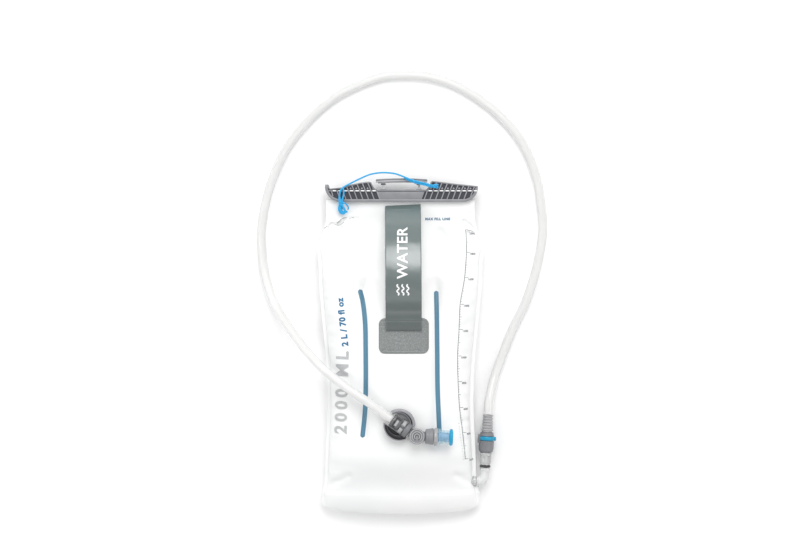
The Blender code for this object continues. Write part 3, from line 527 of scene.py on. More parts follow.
def linePull(x, y):
    low, high = bagSetup["lineEnds"]
    fade = bagSetup["lineFade"]
    ends = min(1.0, max(0.0, (y - low + fade) / fade)) * min(1.0, max(0.0, (high + fade - y) / fade))
    ends = ends * ends * (3 - 2 * ends)
    away = abs(abs(x) - bagSetup["lineX"])
    return bagSetup["linePull"] * ends * sum(share * math.exp(-(away / reach) ** 2)
                                             for share, reach in bagSetup["lineDips"])


def creaseDepth(x, y):
    total = 0.0
    for (x0, y0), (x1, y1), depth, width in bagSetup["creases"]:
        if min(x0, x1) - 0.02 < x < max(x0, x1) + 0.02 and min(y0, y1) - 0.02 < y < max(y0, y1) + 0.02:
            dx, dy = x1 - x0, y1 - y0
            t = max(0.0, min(1.0, ((x - x0) * dx + (y - y0) * dy) / (dx * dx + dy * dy)))
            away = math.hypot(x - x0 - dx * t, y - y0 - dy * t)
            side = math.exp(-((away - 1.9 * width) / (1.2 * width)) ** 2)
            total += depth * (math.exp(-(away / width) ** 2) - 0.35 * side)
    return total


# short folds that run square to the side seams, and slow dents over the whole panel
def filmRelief(x, y, fromSeam, seed):
    fold = noise.noise(Vector((y * 105, seed + (4 if x > 0 else 0), fromSeam * 16)))
    fold += 0.5 * noise.noise(Vector((y * 230, seed + (9 if x > 0 else 0), fromSeam * 30)))
    reach = math.exp(-fromSeam / 0.011) * (1 - math.exp(-fromSeam / 0.0016))
    slow = noise.noise(Vector((x * 24, y * 17, seed)))
    return bagSetup["pucker"] * fold * reach * 1.9 + bagSetup["sag"] * slow * min(1.0, fromSeam / 0.03)


def bodyHalf(y):
    return halfWidth(y) - bagSetup["lip"]


def frontHeight(x, y):
    body = bodyHalf(y)
    edge = through(bagSetup["seamHeights"], y) + bagSetup["weld"] + 0.0010
    if abs(x) >= body:
        return edge - 0.0004
    rise = through(bagSetup["crowns"], y) - edge
    bulge = (1 - (x / body) ** 2) ** 0.43
    swell = min(1.0, max(0.0, rise) / 0.015)
    relief = filmRelief(x, y, body - abs(x), 1.7) * max(0.25, swell) - creaseDepth(x, y)
    return edge - 0.0004 * (1 - swell) + rise * bulge - linePull(x, y) * min(1.0, rise / 0.02) + relief * 0.9


def backHeight(x, y):
    body = bodyHalf(y)
    edge = through(bagSetup["seamHeights"], y) - bagSetup["weld"] - 0.0010
    if abs(x) >= body:
        return edge + 0.0004
    drop = edge - through(bagSetup["undersides"], y)
    shape = min(1.0, 1.12 * (1 - (x / body) ** 2) ** 0.36)
    relief = filmRelief(x, y, body - abs(x), 7.3) * (1 - shape ** 6)
    return max(0.00005, edge + 0.0004 - (drop + 0.0004) * shape + relief * 0.8)


def columnX(u, y):
    half, body = halfWidth(y), bodyHalf(y)
    edge = bagSetup["lipShare"]
    if u < edge:
        return -half + (half - body) * u / edge
    if u > 1 - edge:
        return half - (half - body) * (1 - u) / edge
    return body * math.sin((u - 0.5) / (0.5 - edge) * math.pi / 2)


def addSheetGrid(columns, rows, place):
    bm = bmesh.new()
    bmesh.ops.create_grid(bm, x_segments=columns, y_segments=rows, size=0.5)
    for v in bm.verts:
        v.co = Vector(place(v.co.x + 0.5, v.co.y + 0.5))
    bmesh.ops.recalc_face_normals(bm, faces=bm.faces)
    return bm


def giveWall(piece, thickness, offset=-1.0):
    wall = piece.modifiers.new("wall", "SOLIDIFY")
    wall.thickness = thickness
    wall.offset = offset
    wall.use_even_offset = False


# the lowest row is a narrow hem, so the panel's cut edge does not shade it
def rowY(v, rows):
    low, high = bagSetup["baseY"] - 0.0005, bagSetup["mouthY"]
    t = max(0.0, (v * rows - 1) / (rows - 1))
    return low + (high - low) * (t - 0.30 * math.sin(2 * math.pi * t) / (2 * math.pi)) - (0.00015 if v <= 0 else 0)


# turns a sheet whose faces look the wrong way
def faceTowards(bm, direction):
    total = Vector((0, 0, 0))
    for face in bm.faces:
        total += face.normal * face.calc_area()
    if total.dot(Vector(direction)) < 0:
        bmesh.ops.reverse_faces(bm, faces=bm.faces)


def makeSheet(name, node, grid, place, facing):
    bm = addSheetGrid(*grid, place)
    faceTowards(bm, facing)
    sheet = addPiece(name, bm, looks["film"], "reservoir", [node], 180)
    giveWall(sheet, bagSetup["film"])
    return sheet


def makeFilm():
    def makePanel(name, node, grid, height, facing):
        def place(u, v):
            y = rowY(v, grid[1])
            x = columnX(u, y)
            return (x, y, height(x, y))

        return makeSheet(name, node, grid, place, facing)

    front = makePanel("frontPanel", "front_panel", bagSetup["frontGrid"], frontHeight, (0, 0, 1))
    makePanel("backPanel", "back_panel", bagSetup["backGrid"], backHeight, (0, 0, -1))

    baseY = bagSetup["baseY"]
    rows = bagSetup["gussetGrid"][1]

    def gussetPlace(u, v):
        turn = (u - 0.5) * math.pi * 0.985
        tucked = v <= 0.0001 or v >= 0.9999
        v = min(1.0, max(0.0, (v * rows - 1) / (rows - 2)))
        x = (halfWidth(baseY) - 0.0012) * math.sin(turn)
        low, high = backHeight(x, baseY), frontHeight(x, baseY)
        puck = 0.0011 * noise.noise(Vector((x * 95, v * 1.6, 11.0))) * abs(math.sin(2 * math.pi * v))
        slow = 0.0012 * noise.noise(Vector((x * 22, v * 2.0, 5.0)))
        bulge = max(0.0, math.sin(math.pi * v)) ** 0.70
        corner = max(0.0, math.cos(turn)) ** bagSetup["baseCorner"]
        out = bagSetup["baseReach"] * bulge * corner + (puck + slow) * bulge
        out = -0.0004 if tucked else out
        return (x * (1 + 0.012 * bulge), baseY - 0.0002 - out, low + (high - low) * v)

    makeSheet("baseGusset", "base_gusset", bagSetup["gussetGrid"], gussetPlace, (0, -1, 0))

    low, high = bagSetup["lineEnds"]
    for name, side in (("left_baffle", -1), ("right_baffle", 1)):
        x = side * bagSetup["lineX"]

        def bafflePlace(u, v):
            y = low + (high - low) * u
            bottom, top = backHeight(x, y) + 0.0006, frontHeight(x, y) - 0.0006
            bow = 0.0012 * noise.noise(Vector((y * 40, v * 3, side)))
            return (x + bow * math.sin(math.pi * v), y, bottom + (top - bottom) * v)

        bm = addSheetGrid(40, 12, bafflePlace)
        sheet = addPiece(name.replace("_baffle", "Baffle"), bm, looks["film"], "reservoir", [name], 180)
        giveWall(sheet, 0.0004, 0.0)
    return front


frontPanel = makeFilm()
print("film panels lofted")


# surfaces that prints and patches lie on
def surfaceTree(piece):
    bpy.context.view_layer.update()
    return BVHTree.FromObject(piece, bpy.context.evaluated_depsgraph_get())


frontTree = surfaceTree(frontPanel)


def surfaceZ(tree, x, y):
    aboveAll, ifMissed = 0.30, 0.02
    hit = tree.ray_cast(Vector((x, y, aboveAll)), Vector((0, 0, -1)))
    return hit[0].z if hit[0] else ifMissed


def layOn(bm, tree, lift):
    for v in bm.verts:
        v.co.z += surfaceZ(tree, v.co.x, v.co.y) + lift


def splitLong(bm, longest):
    for _ in range(4):
        edges = [e for e in bm.edges if e.calc_length() > longest]
        if not edges:
            return
        bmesh.ops.subdivide_edges(bm, edges=edges, cuts=1)
        bmesh.ops.triangulate(bm, faces=[f for f in bm.faces if len(f.verts) > 4])


# flat lettering with a hair of thickness, turned and placed, still lying at z = 0
def addLetters(bm, words, size, at, turn=0.0, bold=0.0, spacing=1.0, thickness=0.00008):
    text = bpy.data.curves.new("letters", "FONT")
    text.body = words
    text.size = size
    text.align_x = "CENTER"
    text.align_y = "CENTER"
    text.extrude = thickness / 2
    text.offset = bold
    text.space_character = spacing
    text.resolution_u = 3
    made = bpy.data.objects.new("letters", text)
    stageSet.objects.link(made)
    bpy.context.view_layer.update()
    part = bmesh.new()
    meshFrom(made, part)
    bpy.data.objects.remove(made, do_unlink=True)
    bmesh.ops.remove_doubles(part, verts=part.verts, dist=0.0000005)
    splitLong(part, 0.0025)
    joinInto(bm, part, Matrix.Translation((*at, 0)) @ Matrix.Rotation(turn, 4, "Z"))


# an inked line of even width along points on the panel
def addInkLine(bm, points, width, thickness=0.00008):
    pts = [Vector((x, y, 0)) for x, y in points]
    part = bmesh.new()

    def crossing(i):
        run = (pts[min(i + 1, len(pts) - 1)] - pts[max(i - 1, 0)]).normalized()
        side = Vector((-run.y, run.x, 0)) * width / 2
        return pts[i] - side, pts[i] + side

    a, b = (part.verts.new(co) for co in crossing(0))
    edge = part.edges.new((a, b))
    for i in range(1, len(pts)):
        grown = bmesh.ops.extrude_edge_only(part, edges=[edge])["geom"]
        verts = [g for g in grown if isinstance(g, bmesh.types.BMVert)]
        edge = next(g for g in grown if isinstance(g, bmesh.types.BMEdge)
                    and all(v in verts for v in g.verts))
        low, high = crossing(i)
        run = (pts[i] - pts[i - 1]).normalized()
        side = Vector((-run.y, run.x, 0))
        first, second = sorted(edge.verts, key=lambda v: v.co.dot(side))
        first.co, second.co = low, high
    bmesh.ops.recalc_face_normals(part, faces=part.faces)
    faceTowards(part, (0, 0, 1))
    bmesh.ops.solidify(part, geom=list(part.faces), thickness=thickness)
    joinInto(bm, part)


# handle: welded patch and glossy strap
handleSetup = {
    "patchCentre": (0.0036, 0.0124),
    "patchSize": (0.0536, 0.0380),
    "patchCorner": 0.0070,
    "patchThick": 0.0011,
    "strapWidth": 0.0385,
    "strapThick": 0.0013,
    "leanTop": 0.0026,
    "leanFoot": 0.0035,
    "path": [(0.1531, 0.0214), (0.1440, 0.0318), (0.1290, 0.0478), (0.1120, 0.0608), (0.0920, 0.0686),
             (0.0720, 0.0702), (0.0520, 0.0652), (0.0380, 0.0577), (0.0270, 0.0556), (0.0185, 0.0553)],
}


# keeps a square grid's points inside a rounded rectangle
def roundedSpot(u, v, size, corner):
    x, y = (u - 0.5) * size[0], (v - 0.5) * size[1]
    innerX, innerY = size[0] / 2 - corner, size[1] / 2 - corner
    if abs(x) > innerX and abs(y) > innerY:
        dx, dy = abs(x) - innerX, abs(y) - innerY
        squareReach = max(dx, dy)
        length = math.hypot(dx, dy)
        dx, dy = dx / length * squareReach, dy / length * squareReach
        x, y = math.copysign(innerX + dx, x), math.copysign(innerY + dy, y)
    return x, y


def makeHandle(setup):
    cx, cy = setup["patchCentre"]
    size, thick = setup["patchSize"], setup["patchThick"]

    def patchPlace(u, v):
        x, y = roundedSpot(u, v, size, setup["patchCorner"])
        rim = min(size[0] / 2 - abs(x), size[1] / 2 - abs(y))
        edgeDrop = 0.0009 * math.exp(-rim / 0.0006)
        weldLine = -0.00045 * math.exp(-((rim - 0.0032) / 0.0007) ** 2)
        dimple = 0.00025 * noise.noise(Vector((x * 330, y * 330, 2.0)))
        base = surfaceZ(frontTree, cx + x, cy + y)
        return (cx + x, cy + y, base + 0.0002 + thick - edgeDrop + weldLine + dimple)

    bm = addSheetGrid(96, 64, patchPlace)
    faceTowards(bm, (0, 0, 1))
    patch = addPiece("handlePatch", bm, looks["patch"], "reservoir", ["handle_anchor"], 180)
    giveWall(patch, thick)

    path = smoothRoute([(0, y, z) for y, z in setup["path"]], 0.0012)
    last = len(path) - 1

    def strapPlace(u, v):
        step = v * last
        i = min(last - 1, int(step))
        at = path[i].lerp(path[i + 1], step - i)
        run = (path[min(last, i + 2)] - path[max(0, i - 1)]).normalized()
        out = Vector((0, -run.z, run.y))
        out = out if out.z > 0 else -out
        lean = setup["leanTop"] + (setup["leanFoot"] - setup["leanTop"]) * v
        across = (u - 0.5) * 2
        cup = -0.0008 * across ** 2 * math.sin(math.pi * min(1.0, v * 1.05))
        rim = 1 - abs(across)
        bead = 0.00022 * math.exp(-((rim - 0.035) / 0.018) ** 2)
        fromTop = v * last * 0.0012
        welds = 0.00030 * math.exp(-((fromTop - 0.0066) / 0.0006) ** 2) * math.exp(-(across / 0.55) ** 6)
        fromFoot = (1 - v) * last * 0.0012
        welds -= 0.00040 * math.exp(-((fromFoot - 0.0105) / 0.0011) ** 2)
        ripple = 0.00012 * noise.noise(Vector((across * 2.2, fromTop * 150, 4.0)))
        spot = at + out * (cup + bead + welds + ripple)
        slant = -0.0008 * across * math.exp(-fromTop / 0.004)
        return (lean + across * setup["strapWidth"] / 2, spot.y - slant, spot.z)

    bm = addSheetGrid(36, 150, strapPlace)
    faceTowards(bm, (0, 0, 1))
    strap = addPiece("carryStrap", bm, looks["strap"], "reservoir", ["handle_strap"], 180)
    giveWall(strap, setup["strapThick"])
    return strap


strapTree = surfaceTree(makeHandle(handleSetup))
print("handle made")


# prints: everything on the object is plain units, numbers and simple marks, and the painted fold shade at the
# shoulders is laid the same way
printSetup = {
    "lift": 0.00012,
    "lineWidth": 0.0050,
    # painted shade in the shoulder folds: the points of each dark line and its width
    "foldShadeLines": [
        ([(-0.0752, 0.1328), (-0.0738, 0.1333)], 0.0007),
        ([(-0.0712, 0.1323), (-0.0690, 0.1316), (-0.0658, 0.1315), (-0.0634, 0.1329), (-0.0614, 0.1349)], 0.0005),
        ([(-0.0684, 0.1336), (-0.0660, 0.1358), (-0.0640, 0.1379), (-0.0612, 0.1391), (-0.0580, 0.1395)], 0.0006),
        ([(-0.0553, 0.1385), (-0.0542, 0.1388)], 0.0006),
        ([(-0.0530, 0.1396), (-0.0516, 0.1396), (-0.0504, 0.1390)], 0.0005),
        ([(-0.0826, 0.1278), (-0.0806, 0.1294), (-0.0789, 0.1305)], 0.0005),
    ],
    "leftLine": [(-0.0438, 0.0620), (-0.0402, 0.0475), (-0.0379, 0.0260), (-0.0373, -0.0020),
                 (-0.0372, -0.0400), (-0.0380, -0.0680), (-0.0408, -0.0970)],
    "rightLine": [(0.0384, 0.0605), (0.0390, 0.0300), (0.0394, -0.0050), (0.0398, -0.0430),
                  (0.0410, -0.0740), (0.0420, -0.0950)],
    "scaleLine": [(0.0788, 0.1246), (0.0700, 0.1265), (0.0708, 0.1240), (0.0712, 0.1020), (0.0690, 0.0745),
                  (0.0640, 0.0460), (0.0628, 0.0190), (0.0612, -0.0095), (0.0618, -0.0370), (0.0634, -0.0650),
                  (0.0668, -0.0920), (0.0698, -0.1205)],
    "ticks": [0.1240, 0.1020, 0.0745, 0.0460, 0.0190, -0.0095, -0.0370, -0.0650, -0.0920, -0.1205],
    "fineLine": [(0.0622, -0.0820), (0.0636, -0.0950), (0.0660, -0.1080), (0.0676, -0.1210)],
}


def lineX(points, y):
    for (x0, y0), (x1, y1) in zip(points, points[1:]):
        if min(y0, y1) <= y <= max(y0, y1) and y0 != y1:
            return x0 + (x1 - x0) * (y - y0) / (y1 - y0)
    return points[-1][0]


def evenPoints(points, spacing):
    return [(p.x, p.y) for p in smoothRoute([(x, y, 0) for x, y in points], spacing)]


def addPrint(name, bm, tree, mat, lift=printSetup["lift"]):
    layOn(bm, tree, lift)
    addPiece(name, bm, mat, "reservoir")


def makePrints(setup):
    for name, points in (("leftWeldLine", setup["leftLine"]), ("rightWeldLine", setup["rightLine"])):
        route = smoothRoute([(x, y, 0) for x, y in points], 0.0012)
        last = len(route) - 1

        def stripPlace(u, v):
            i = min(last - 1, int(v * last))
            at = route[i].lerp(route[i + 1], v * last - i)
            run = (route[min(last, i + 2)] - route[max(0, i - 1)]).normalized()
            across = (u - 0.5) * 2
            nearEnd = min(v, 1 - v) * last * 0.0012
            half = setup["lineWidth"] / 2
            width = half * math.sqrt(max(0.02, 1 - max(0.0, 1 - nearEnd / half) ** 2))
            x, y = at.x - run.y * across * width, at.y + run.x * across * width
            raised = 0.00035 * (1 - abs(across) ** 3)
            return (x, y, surfaceZ(frontTree, x, y) + 0.0001 + raised)

        bm = addSheetGrid(10, 140, stripPlace)
        faceTowards(bm, (0, 0, 1))
        strip = addPiece(name, bm, looks["inkTeal"], "reservoir", (), 180)
        giveWall(strip, 0.0002)

    bm = bmesh.new()
    scale = evenPoints(setup["scaleLine"], 0.0035)
    addInkLine(bm, scale, 0.00055)
    ticks = setup["ticks"]
    for high, low in zip(ticks, ticks[1:]):
        for k in range(10):
            y = high + (low - high) * k / 10
            reach = 0.0042 if k == 0 else 0.0022 if k == 5 else 0.0011
            x = lineX(setup["scaleLine"][2:], y)
            addInkLine(bm, [(x - 0.0002, y), (x + reach * 0.5, y), (x + reach, y)], 0.00045)
    x = lineX(setup["scaleLine"][2:], ticks[-1])
    addInkLine(bm, [(x - 0.0006, ticks[-1]), (x + 0.0022, ticks[-1]), (x + 0.0046, ticks[-1])], 0.00055)
    for k in range(14):
        y = setup["fineLine"][0][1] + (setup["fineLine"][-1][1] - setup["fineLine"][0][1]) * k / 13
        x = lineX(setup["fineLine"], y)
        addInkLine(bm, [(x, y), (x + 0.0010, y)], 0.00040)
    addPrint("volumeScale", bm, frontTree, looks["inkGrey"])

    bm = bmesh.new()
    for k, y in enumerate(ticks):
        x = lineX(setup["scaleLine"][2:], y)
        addLetters(bm, str(2000 - 200 * k), 0.0031, (x + 0.0068, y - 0.0018), bold=0.00006)
    addPrint("scaleNumbers", bm, frontTree, looks["inkGrey"])

    # painted shade: thin dark lines for the shadows in the sharp little folds gathered at the shoulders
    bm = bmesh.new()
    for points, width in setup["foldShadeLines"]:
        addInkLine(bm, evenPoints(points, 0.0006), width, 0.00005)
    addPrint("shoulderFoldShade", bm, frontTree, looks["foldShade"])

    bm = bmesh.new()
    addLetters(bm, "MAX FILL LINE", 0.0035, (0.0402, 0.1379), bold=0.00022, spacing=1.20)
    addPrint("maxFillMark", bm, frontTree, looks["inkDeep"])

    bm = bmesh.new()
    addLetters(bm, "2 L / 70 fl oz", 0.0092, (-0.0618, 0.0268), math.radians(96.5), bold=0.00040, spacing=1.08)
    addPrint("capacityMark", bm, frontTree, looks["inkBlue"])

    # the big side mark is hatched: the letters are cut into fine bars
    bm = bmesh.new()
    addLetters(bm, "2000 ML", 0.0184, (-0.0626, -0.0490), math.radians(88.5), bold=0.00065, spacing=1.42)
    hatchLetters(bm, 0.00125, 0.00062)
    addPrint("sideMark", bm, frontTree, looks["inkPale"])


# cuts letters into slanted bars with gaps between them
def hatchLetters(bm, pitch, gap):
    slope = Vector((0.60, 0.80, 0))
    reach = [v.co.dot(slope) for v in bm.verts]
    at, end = min(reach), max(reach)
    while at < end:
        for edge in (at, at + gap):
            bmesh.ops.bisect_plane(bm, geom=list(bm.verts) + list(bm.edges) + list(bm.faces),
                                   plane_co=slope * edge, plane_no=slope)
        at += pitch
    start = min(reach)
    doomed = [f for f in bm.faces if (f.calc_center_median().dot(slope) - start) % pitch < gap]
    bmesh.ops.delete(bm, geom=doomed, context="FACES")
    bmesh.ops.holes_fill(bm, edges=[e for e in bm.edges if e.is_boundary], sides=0)
    bmesh.ops.recalc_face_normals(bm, faces=bm.faces)


def makeStrapMark():
    lean = (handleSetup["leanTop"] + handleSetup["leanFoot"]) / 2 - 0.0005
    bm = bmesh.new()
    addLetters(bm, "WATER", 0.0155, (lean, 0.1010), math.pi / 2, bold=0.00030, spacing=1.05)
    for row in range(3):
        wave = [(lean - 0.0052 + 0.0052 * row + 0.0011 * math.sin(k / 16 * 4 * math.pi), 0.0560 + 0.0115 * k / 16)
                for k in range(17)]
        addInkLine(bm, wave, 0.0015)
    addPrint("strapMark", bm, strapTree, looks["whiteInkAndRidgeGlint"], lift=0.00006)


makePrints(printSetup)
makeStrapMark()
print("prints laid on the film and strap")


# more helpers for the moulded parts
# cuts one shape out of another, leaving a closed mesh
def carve(bm, cutter):
    made = []
    for part in (bm, cutter):
        mesh = bpy.data.meshes.new("carving")
        part.to_mesh(mesh)
        made.append(bpy.data.objects.new("carving", mesh))
        stageSet.objects.link(made[-1])
    cutter.free()
    cut = made[0].modifiers.new("cut", "BOOLEAN")
    cut.operation = "DIFFERENCE"
    cut.solver = "EXACT"
    cut.use_self = True
    cut.object = made[1]
    bpy.context.view_layer.update()
    bm.clear()
    meshFrom(made[0], bm)
    for obj in made:
        bpy.data.objects.remove(obj, do_unlink=True)


def carveBlock(bm, low, high, matrix=None):
    cutter = bmesh.new()
    addBlock(cutter, low, high, matrix=matrix)
    carve(bm, cutter)


# a wall of even width that follows points, seen from above
def addBand(bm, points, width, low, high, bevel=0.0, matrix=None):
    pts = [Vector(p) for p in points]
    left, right = [], []
    for i, point in enumerate(pts):
        before = (pts[i] - pts[i - 1]).normalized() if i else None
        after = (pts[i + 1] - pts[i]).normalized() if i < len(pts) - 1 else None
        run = ((before or after) + (after or before)).normalized()
        side = Vector((-run.y, run.x))
        reach = width / 2 / max(0.5, run.dot(after or before))
        left.append(tuple(point + side * reach))
        right.append(tuple(point - side * reach))
    addSlab(bm, right + left[::-1], low, high, bevel, 2, matrix)


def ringProfile(radius, thick, height, tall=None):
    sides = 12
    turns = [2 * math.pi * k / sides for k in range(sides)]
    return [(radius + thick * math.cos(a), height + (tall or thick) * math.sin(a)) for a in turns]


def addTurnedPiece(name, look, body, node, matrix, profile, steps=48, soften=0.0, closed=True):
    bm = bmesh.new()
    addTurned(bm, profile, matrix, steps, soften, closed)
    return addPiece(name, bm, looks[look], body, [node] if node else ())


# blocks spaced evenly round an axis
def addSpokes(bm, matrix, count, low, high, bevel, segments=2, first=0.0):
    for k in range(count):
        addBlock(bm, low, high, bevel, matrix @ Matrix.Rotation(first + 2 * math.pi * k / count, 4, "Z"), segments)


# mouth rails, welded to the films and gripped by the slide seal
def makeRails():
    for name, node, low, high in (("frontRail", "mouth_rail_front", 0.0181, 0.0217),
                                  ("backRail", "mouth_rail_back", 0.0139, 0.0175)):
        bm = bmesh.new()
        addBlock(bm, (-0.0750, 0.1592, low), (0.0750, 0.1655, high), 0.0007)
        for k in range(24):
            x = -0.0713 + k * 0.0062
            away = high if "front" in node else low - 0.0002
            addBlock(bm, (x, 0.1601, away - 0.0001), (x + 0.0012, 0.1646, away + 0.0003), 0.0001, segments=1)
        addPiece(name, bm, looks["clear"], "reservoir", [node])


# slide seal: ribbed grips each side of a plain middle, the same on both faces
sealSetup = {
    "left": -0.0818, "right": 0.0839, "bottom": 0.1563, "cornerLeft": 0.0172, "cornerRight": 0.0160,
    "middle": 0.0178, "half": 0.0072, "floorHalf": 0.0052,
    "ribPitch": 0.00612, "ribWidth": 0.0011, "ribSlant": 0.0033,
    "ridgeY": 0.1684, "lipTop": 0.1595,
    "leftTop": [(-0.0766, 0.1709), (-0.0629, 0.1722), (-0.0540, 0.1750), (-0.0441, 0.1772), (-0.0345, 0.1785),
                (-0.0322, 0.1779), (-0.0306, 0.1745), (-0.0287, 0.1716), (-0.0256, 0.1700)],
    "rightTop": [(0.0288, 0.1697), (0.0316, 0.1748), (0.0328, 0.1784), (0.0345, 0.1791), (0.0414, 0.1784),
                 (0.0600, 0.1760), (0.0839, 0.1736)],
    "tab": [(-0.0776, 0.1750), (-0.0784, 0.1754), (-0.0811, 0.1754), (-0.0816, 0.1748)],
}


def sealOutline(setup, inset=0.0):
    left, right, bottom = setup["left"] + inset, setup["right"] - inset, setup["bottom"] + inset
    cornerL, cornerR = setup["cornerLeft"] - inset, setup["cornerRight"] - inset
    outline = arcPoints(left + cornerL, bottom + cornerL, cornerL, 180, 270, 14)
    outline += arcPoints(right - cornerR, bottom + cornerR, cornerR, 270, 360, 12)
    outline += [(x - (inset if x > 0.08 else 0), y - inset) for x, y in reversed(setup["rightTop"])]
    outline += [(x, y - inset) for x, y in reversed(setup["leftTop"])]
    outline += [(x, y - inset) for x, y in setup["tab"]]
    return outline


# the part of a wing that is sunk between its rims
def wingField(setup, wing):
    lipTop, slant = setup["lipTop"] - 0.0006, setup["ribSlant"]
    if wing < 0:
        r = setup["cornerLeft"]
        field = arcPoints(setup["left"] + r, setup["bottom"] + r, r - 0.0020, 178, 248, 10)
        field += [(-0.0262 + slant, lipTop), (-0.0262, setup["ridgeY"])]
        return field + [(x, y - 0.0012) for x, y in reversed(setup["leftTop"][:-2])]
    r = setup["cornerRight"]
    field = [(0.0262, setup["ridgeY"]), (0.0262 - slant, lipTop)]
    field += arcPoints(setup["right"] - r, setup["bottom"] + r, r - 0.0020, 292, 356, 10)
    return field + [(x - (0.0012 if x > 0.08 else -0.0006), y - 0.0012) for x, y in reversed(setup["rightTop"][1:])]


def topOf(points, x):
    for (x0, y0), (x1, y1) in zip(points, points[1:]):
        if min(x0, x1) <= x <= max(x0, x1):
            return y0 + (y1 - y0) * (x - x0) / (x1 - x0)
    return points[0][1]


def makeSlideSeal(setup):
    middle, half, floor = setup["middle"], setup["half"], setup["floorHalf"]
    bottom, ridge, lipTop = setup["bottom"], setup["ridgeY"], setup["lipTop"]
    bm = bmesh.new()
    addSlab(bm, sealOutline(setup, 0.0002), middle - floor, middle + floor, 0.0003)
    carveBlock(bm, (-0.0811, 0.1460, middle - 0.0018), (0.0950, 0.1600, middle + 0.0018))
    carveBlock(bm, (-0.0760, 0.1586, middle - 0.0043), (0.0950, 0.1659, middle + 0.0043))

    dashes, ribs, recesses = bmesh.new(), bmesh.new(), bmesh.new()
    for side in (1, -1):
        sunk = sorted((middle + side * (floor - 0.0002), middle + side * (floor + 0.0002)))
        for wing in (-1, 1):
            addSlab(recesses, wingField(setup, wing), *sunk)
        low, high = sorted((middle + side * (floor - 0.0001), middle + side * half))

        def raised(points, width, drop=0.0, bevel=0.0003, into=bm):
            top, base = (high - drop, low) if side > 0 else (high, low + drop)
            addBand(into, points, width, base, top, bevel)

        # the lip along the films, and the rims of both wings
        r = setup["cornerLeft"]
        lip = [(setup["left"] + 0.0018, 0.1750)]
        lip += arcPoints(setup["left"] + r, bottom + r, r - 0.0016, 184, 270, 16)
        r = setup["cornerRight"]
        lip += arcPoints(setup["right"] - r, bottom + r, r - 0.0016, 270, 356, 14)
        raised(lip, 0.0030, 0.0, 0.0006)
        raised([(x, y - 0.0008) for x, y in setup["leftTop"]], 0.0014, 0.0002)
        raised([(x + (0.0008 if x < 0.034 else -0.0010 if x > 0.08 else 0), y - 0.0008)
                for x, y in setup["rightTop"]], 0.0014, 0.0002)
        # ribs: long ones below the ridge, short ones above it
        for wing, first, count in ((-1, -0.0745, 9), (1, 0.0290, 9)):
            for k in range(count):
                x = first + k * setup["ribPitch"]
                lean = setup["ribSlant"] * -wing
                foot = (x + lean, lipTop - 0.0004)
                if wing < 0 and k == 0:
                    foot = (x + lean * 0.45, lipTop + 0.0032)
                if foot[0] > 0.0800 or x > 0.0830:
                    continue
                raised([(x, ridge - 0.0004), foot], setup["ribWidth"], 0.0002, 0.0002, ribs)
                top = topOf(setup["leftTop"] if wing < 0 else setup["rightTop"], x - lean * 0.7)
                if top - ridge > 0.0040:
                    raised([(x, ridge), (x - lean * (top - ridge) / 0.0088, top - 0.0010)],
                           setup["ribWidth"], 0.0002, 0.0002, ribs)
                    boss = Vector((x + setup["ribPitch"] / 2 - lean * 0.25, ridge + 0.0026, 0))
                    spot = middle + side * (floor + 0.0004)
                    addTurned(ribs, [(0, -0.0006), (0.0010, -0.0006), (0.0010, 0.0005), (0.0007, 0.0008),
                                   (0, 0.0008)], Matrix.Translation((boss.x, boss.y, spot)), 16, closed=False)
                # painted highlight: a bright dash on the ridge after each rib
                dash = [(x + 0.0014, ridge), (x + setup["ribPitch"] - 0.0012, ridge)]
                top, base = (high + 0.0001, high - 0.0012) if side > 0 else (low + 0.0012, low - 0.0001)
                if dash[1][0] < 0.0815 and dash[1][0] < -0.0250 or dash[0][0] > 0.02 and dash[1][0] < 0.0835:
                    addBand(dashes, dash, 0.0013, base, top, 0.0002)
        raised([(-0.0800, ridge), (-0.0262, ridge)], 0.0014, 0.0003)
        raised([(0.0262, ridge), (0.0828, ridge)], 0.0014, 0.0003)
        # the plain middle, with a rounded rail along its upper edge
        slant = setup["ribSlant"]
        plate = [(-0.0262 + slant, lipTop - 0.0006), (0.0262 - slant, lipTop - 0.0006), (0.0262, 0.1676),
                 (-0.0262, 0.1676)]
        top, base = (high - 0.0005, low) if side > 0 else (high, low + 0.0005)
        addSlab(bm, plate, base, top, 0.0004)
        raised([(-0.0300, 0.1688), (0.0310, 0.1688)], 0.0016, 0.0001, 0.0004)
    addPiece("slideSeal", bm, looks["greySeal"], "slider", ["slide_seal"])
    # painted highlight: the ribs and bosses are a lighter copy of the seal's grey, for the light on their raised
    # tops
    addPiece("sealRibs", ribs, looks["raisedHighlightGrey"], "slider")
    # painted shade: the sunk fields of the wings are a thin dark slab for the shade that falls in them
    addPiece("sealRecessShade", recesses, looks["paintedShadeGrey"], "slider")
    # painted highlight: short bright bars on the ridge between the ribs, drawn in the white ink colour
    addPiece("sealRidgeGlints", dashes, looks["whiteInkAndRidgeGlint"], "slider")


# hang bridge: a twin bar on two waisted posts, for a pack's hook
bridgeSetup = {
    "left": -0.0266, "right": 0.0290, "y": 0.1791, "postX": (-0.0186, 0.0200), "footY": 0.1697,
    "low": 0.0146, "high": 0.0210,
}


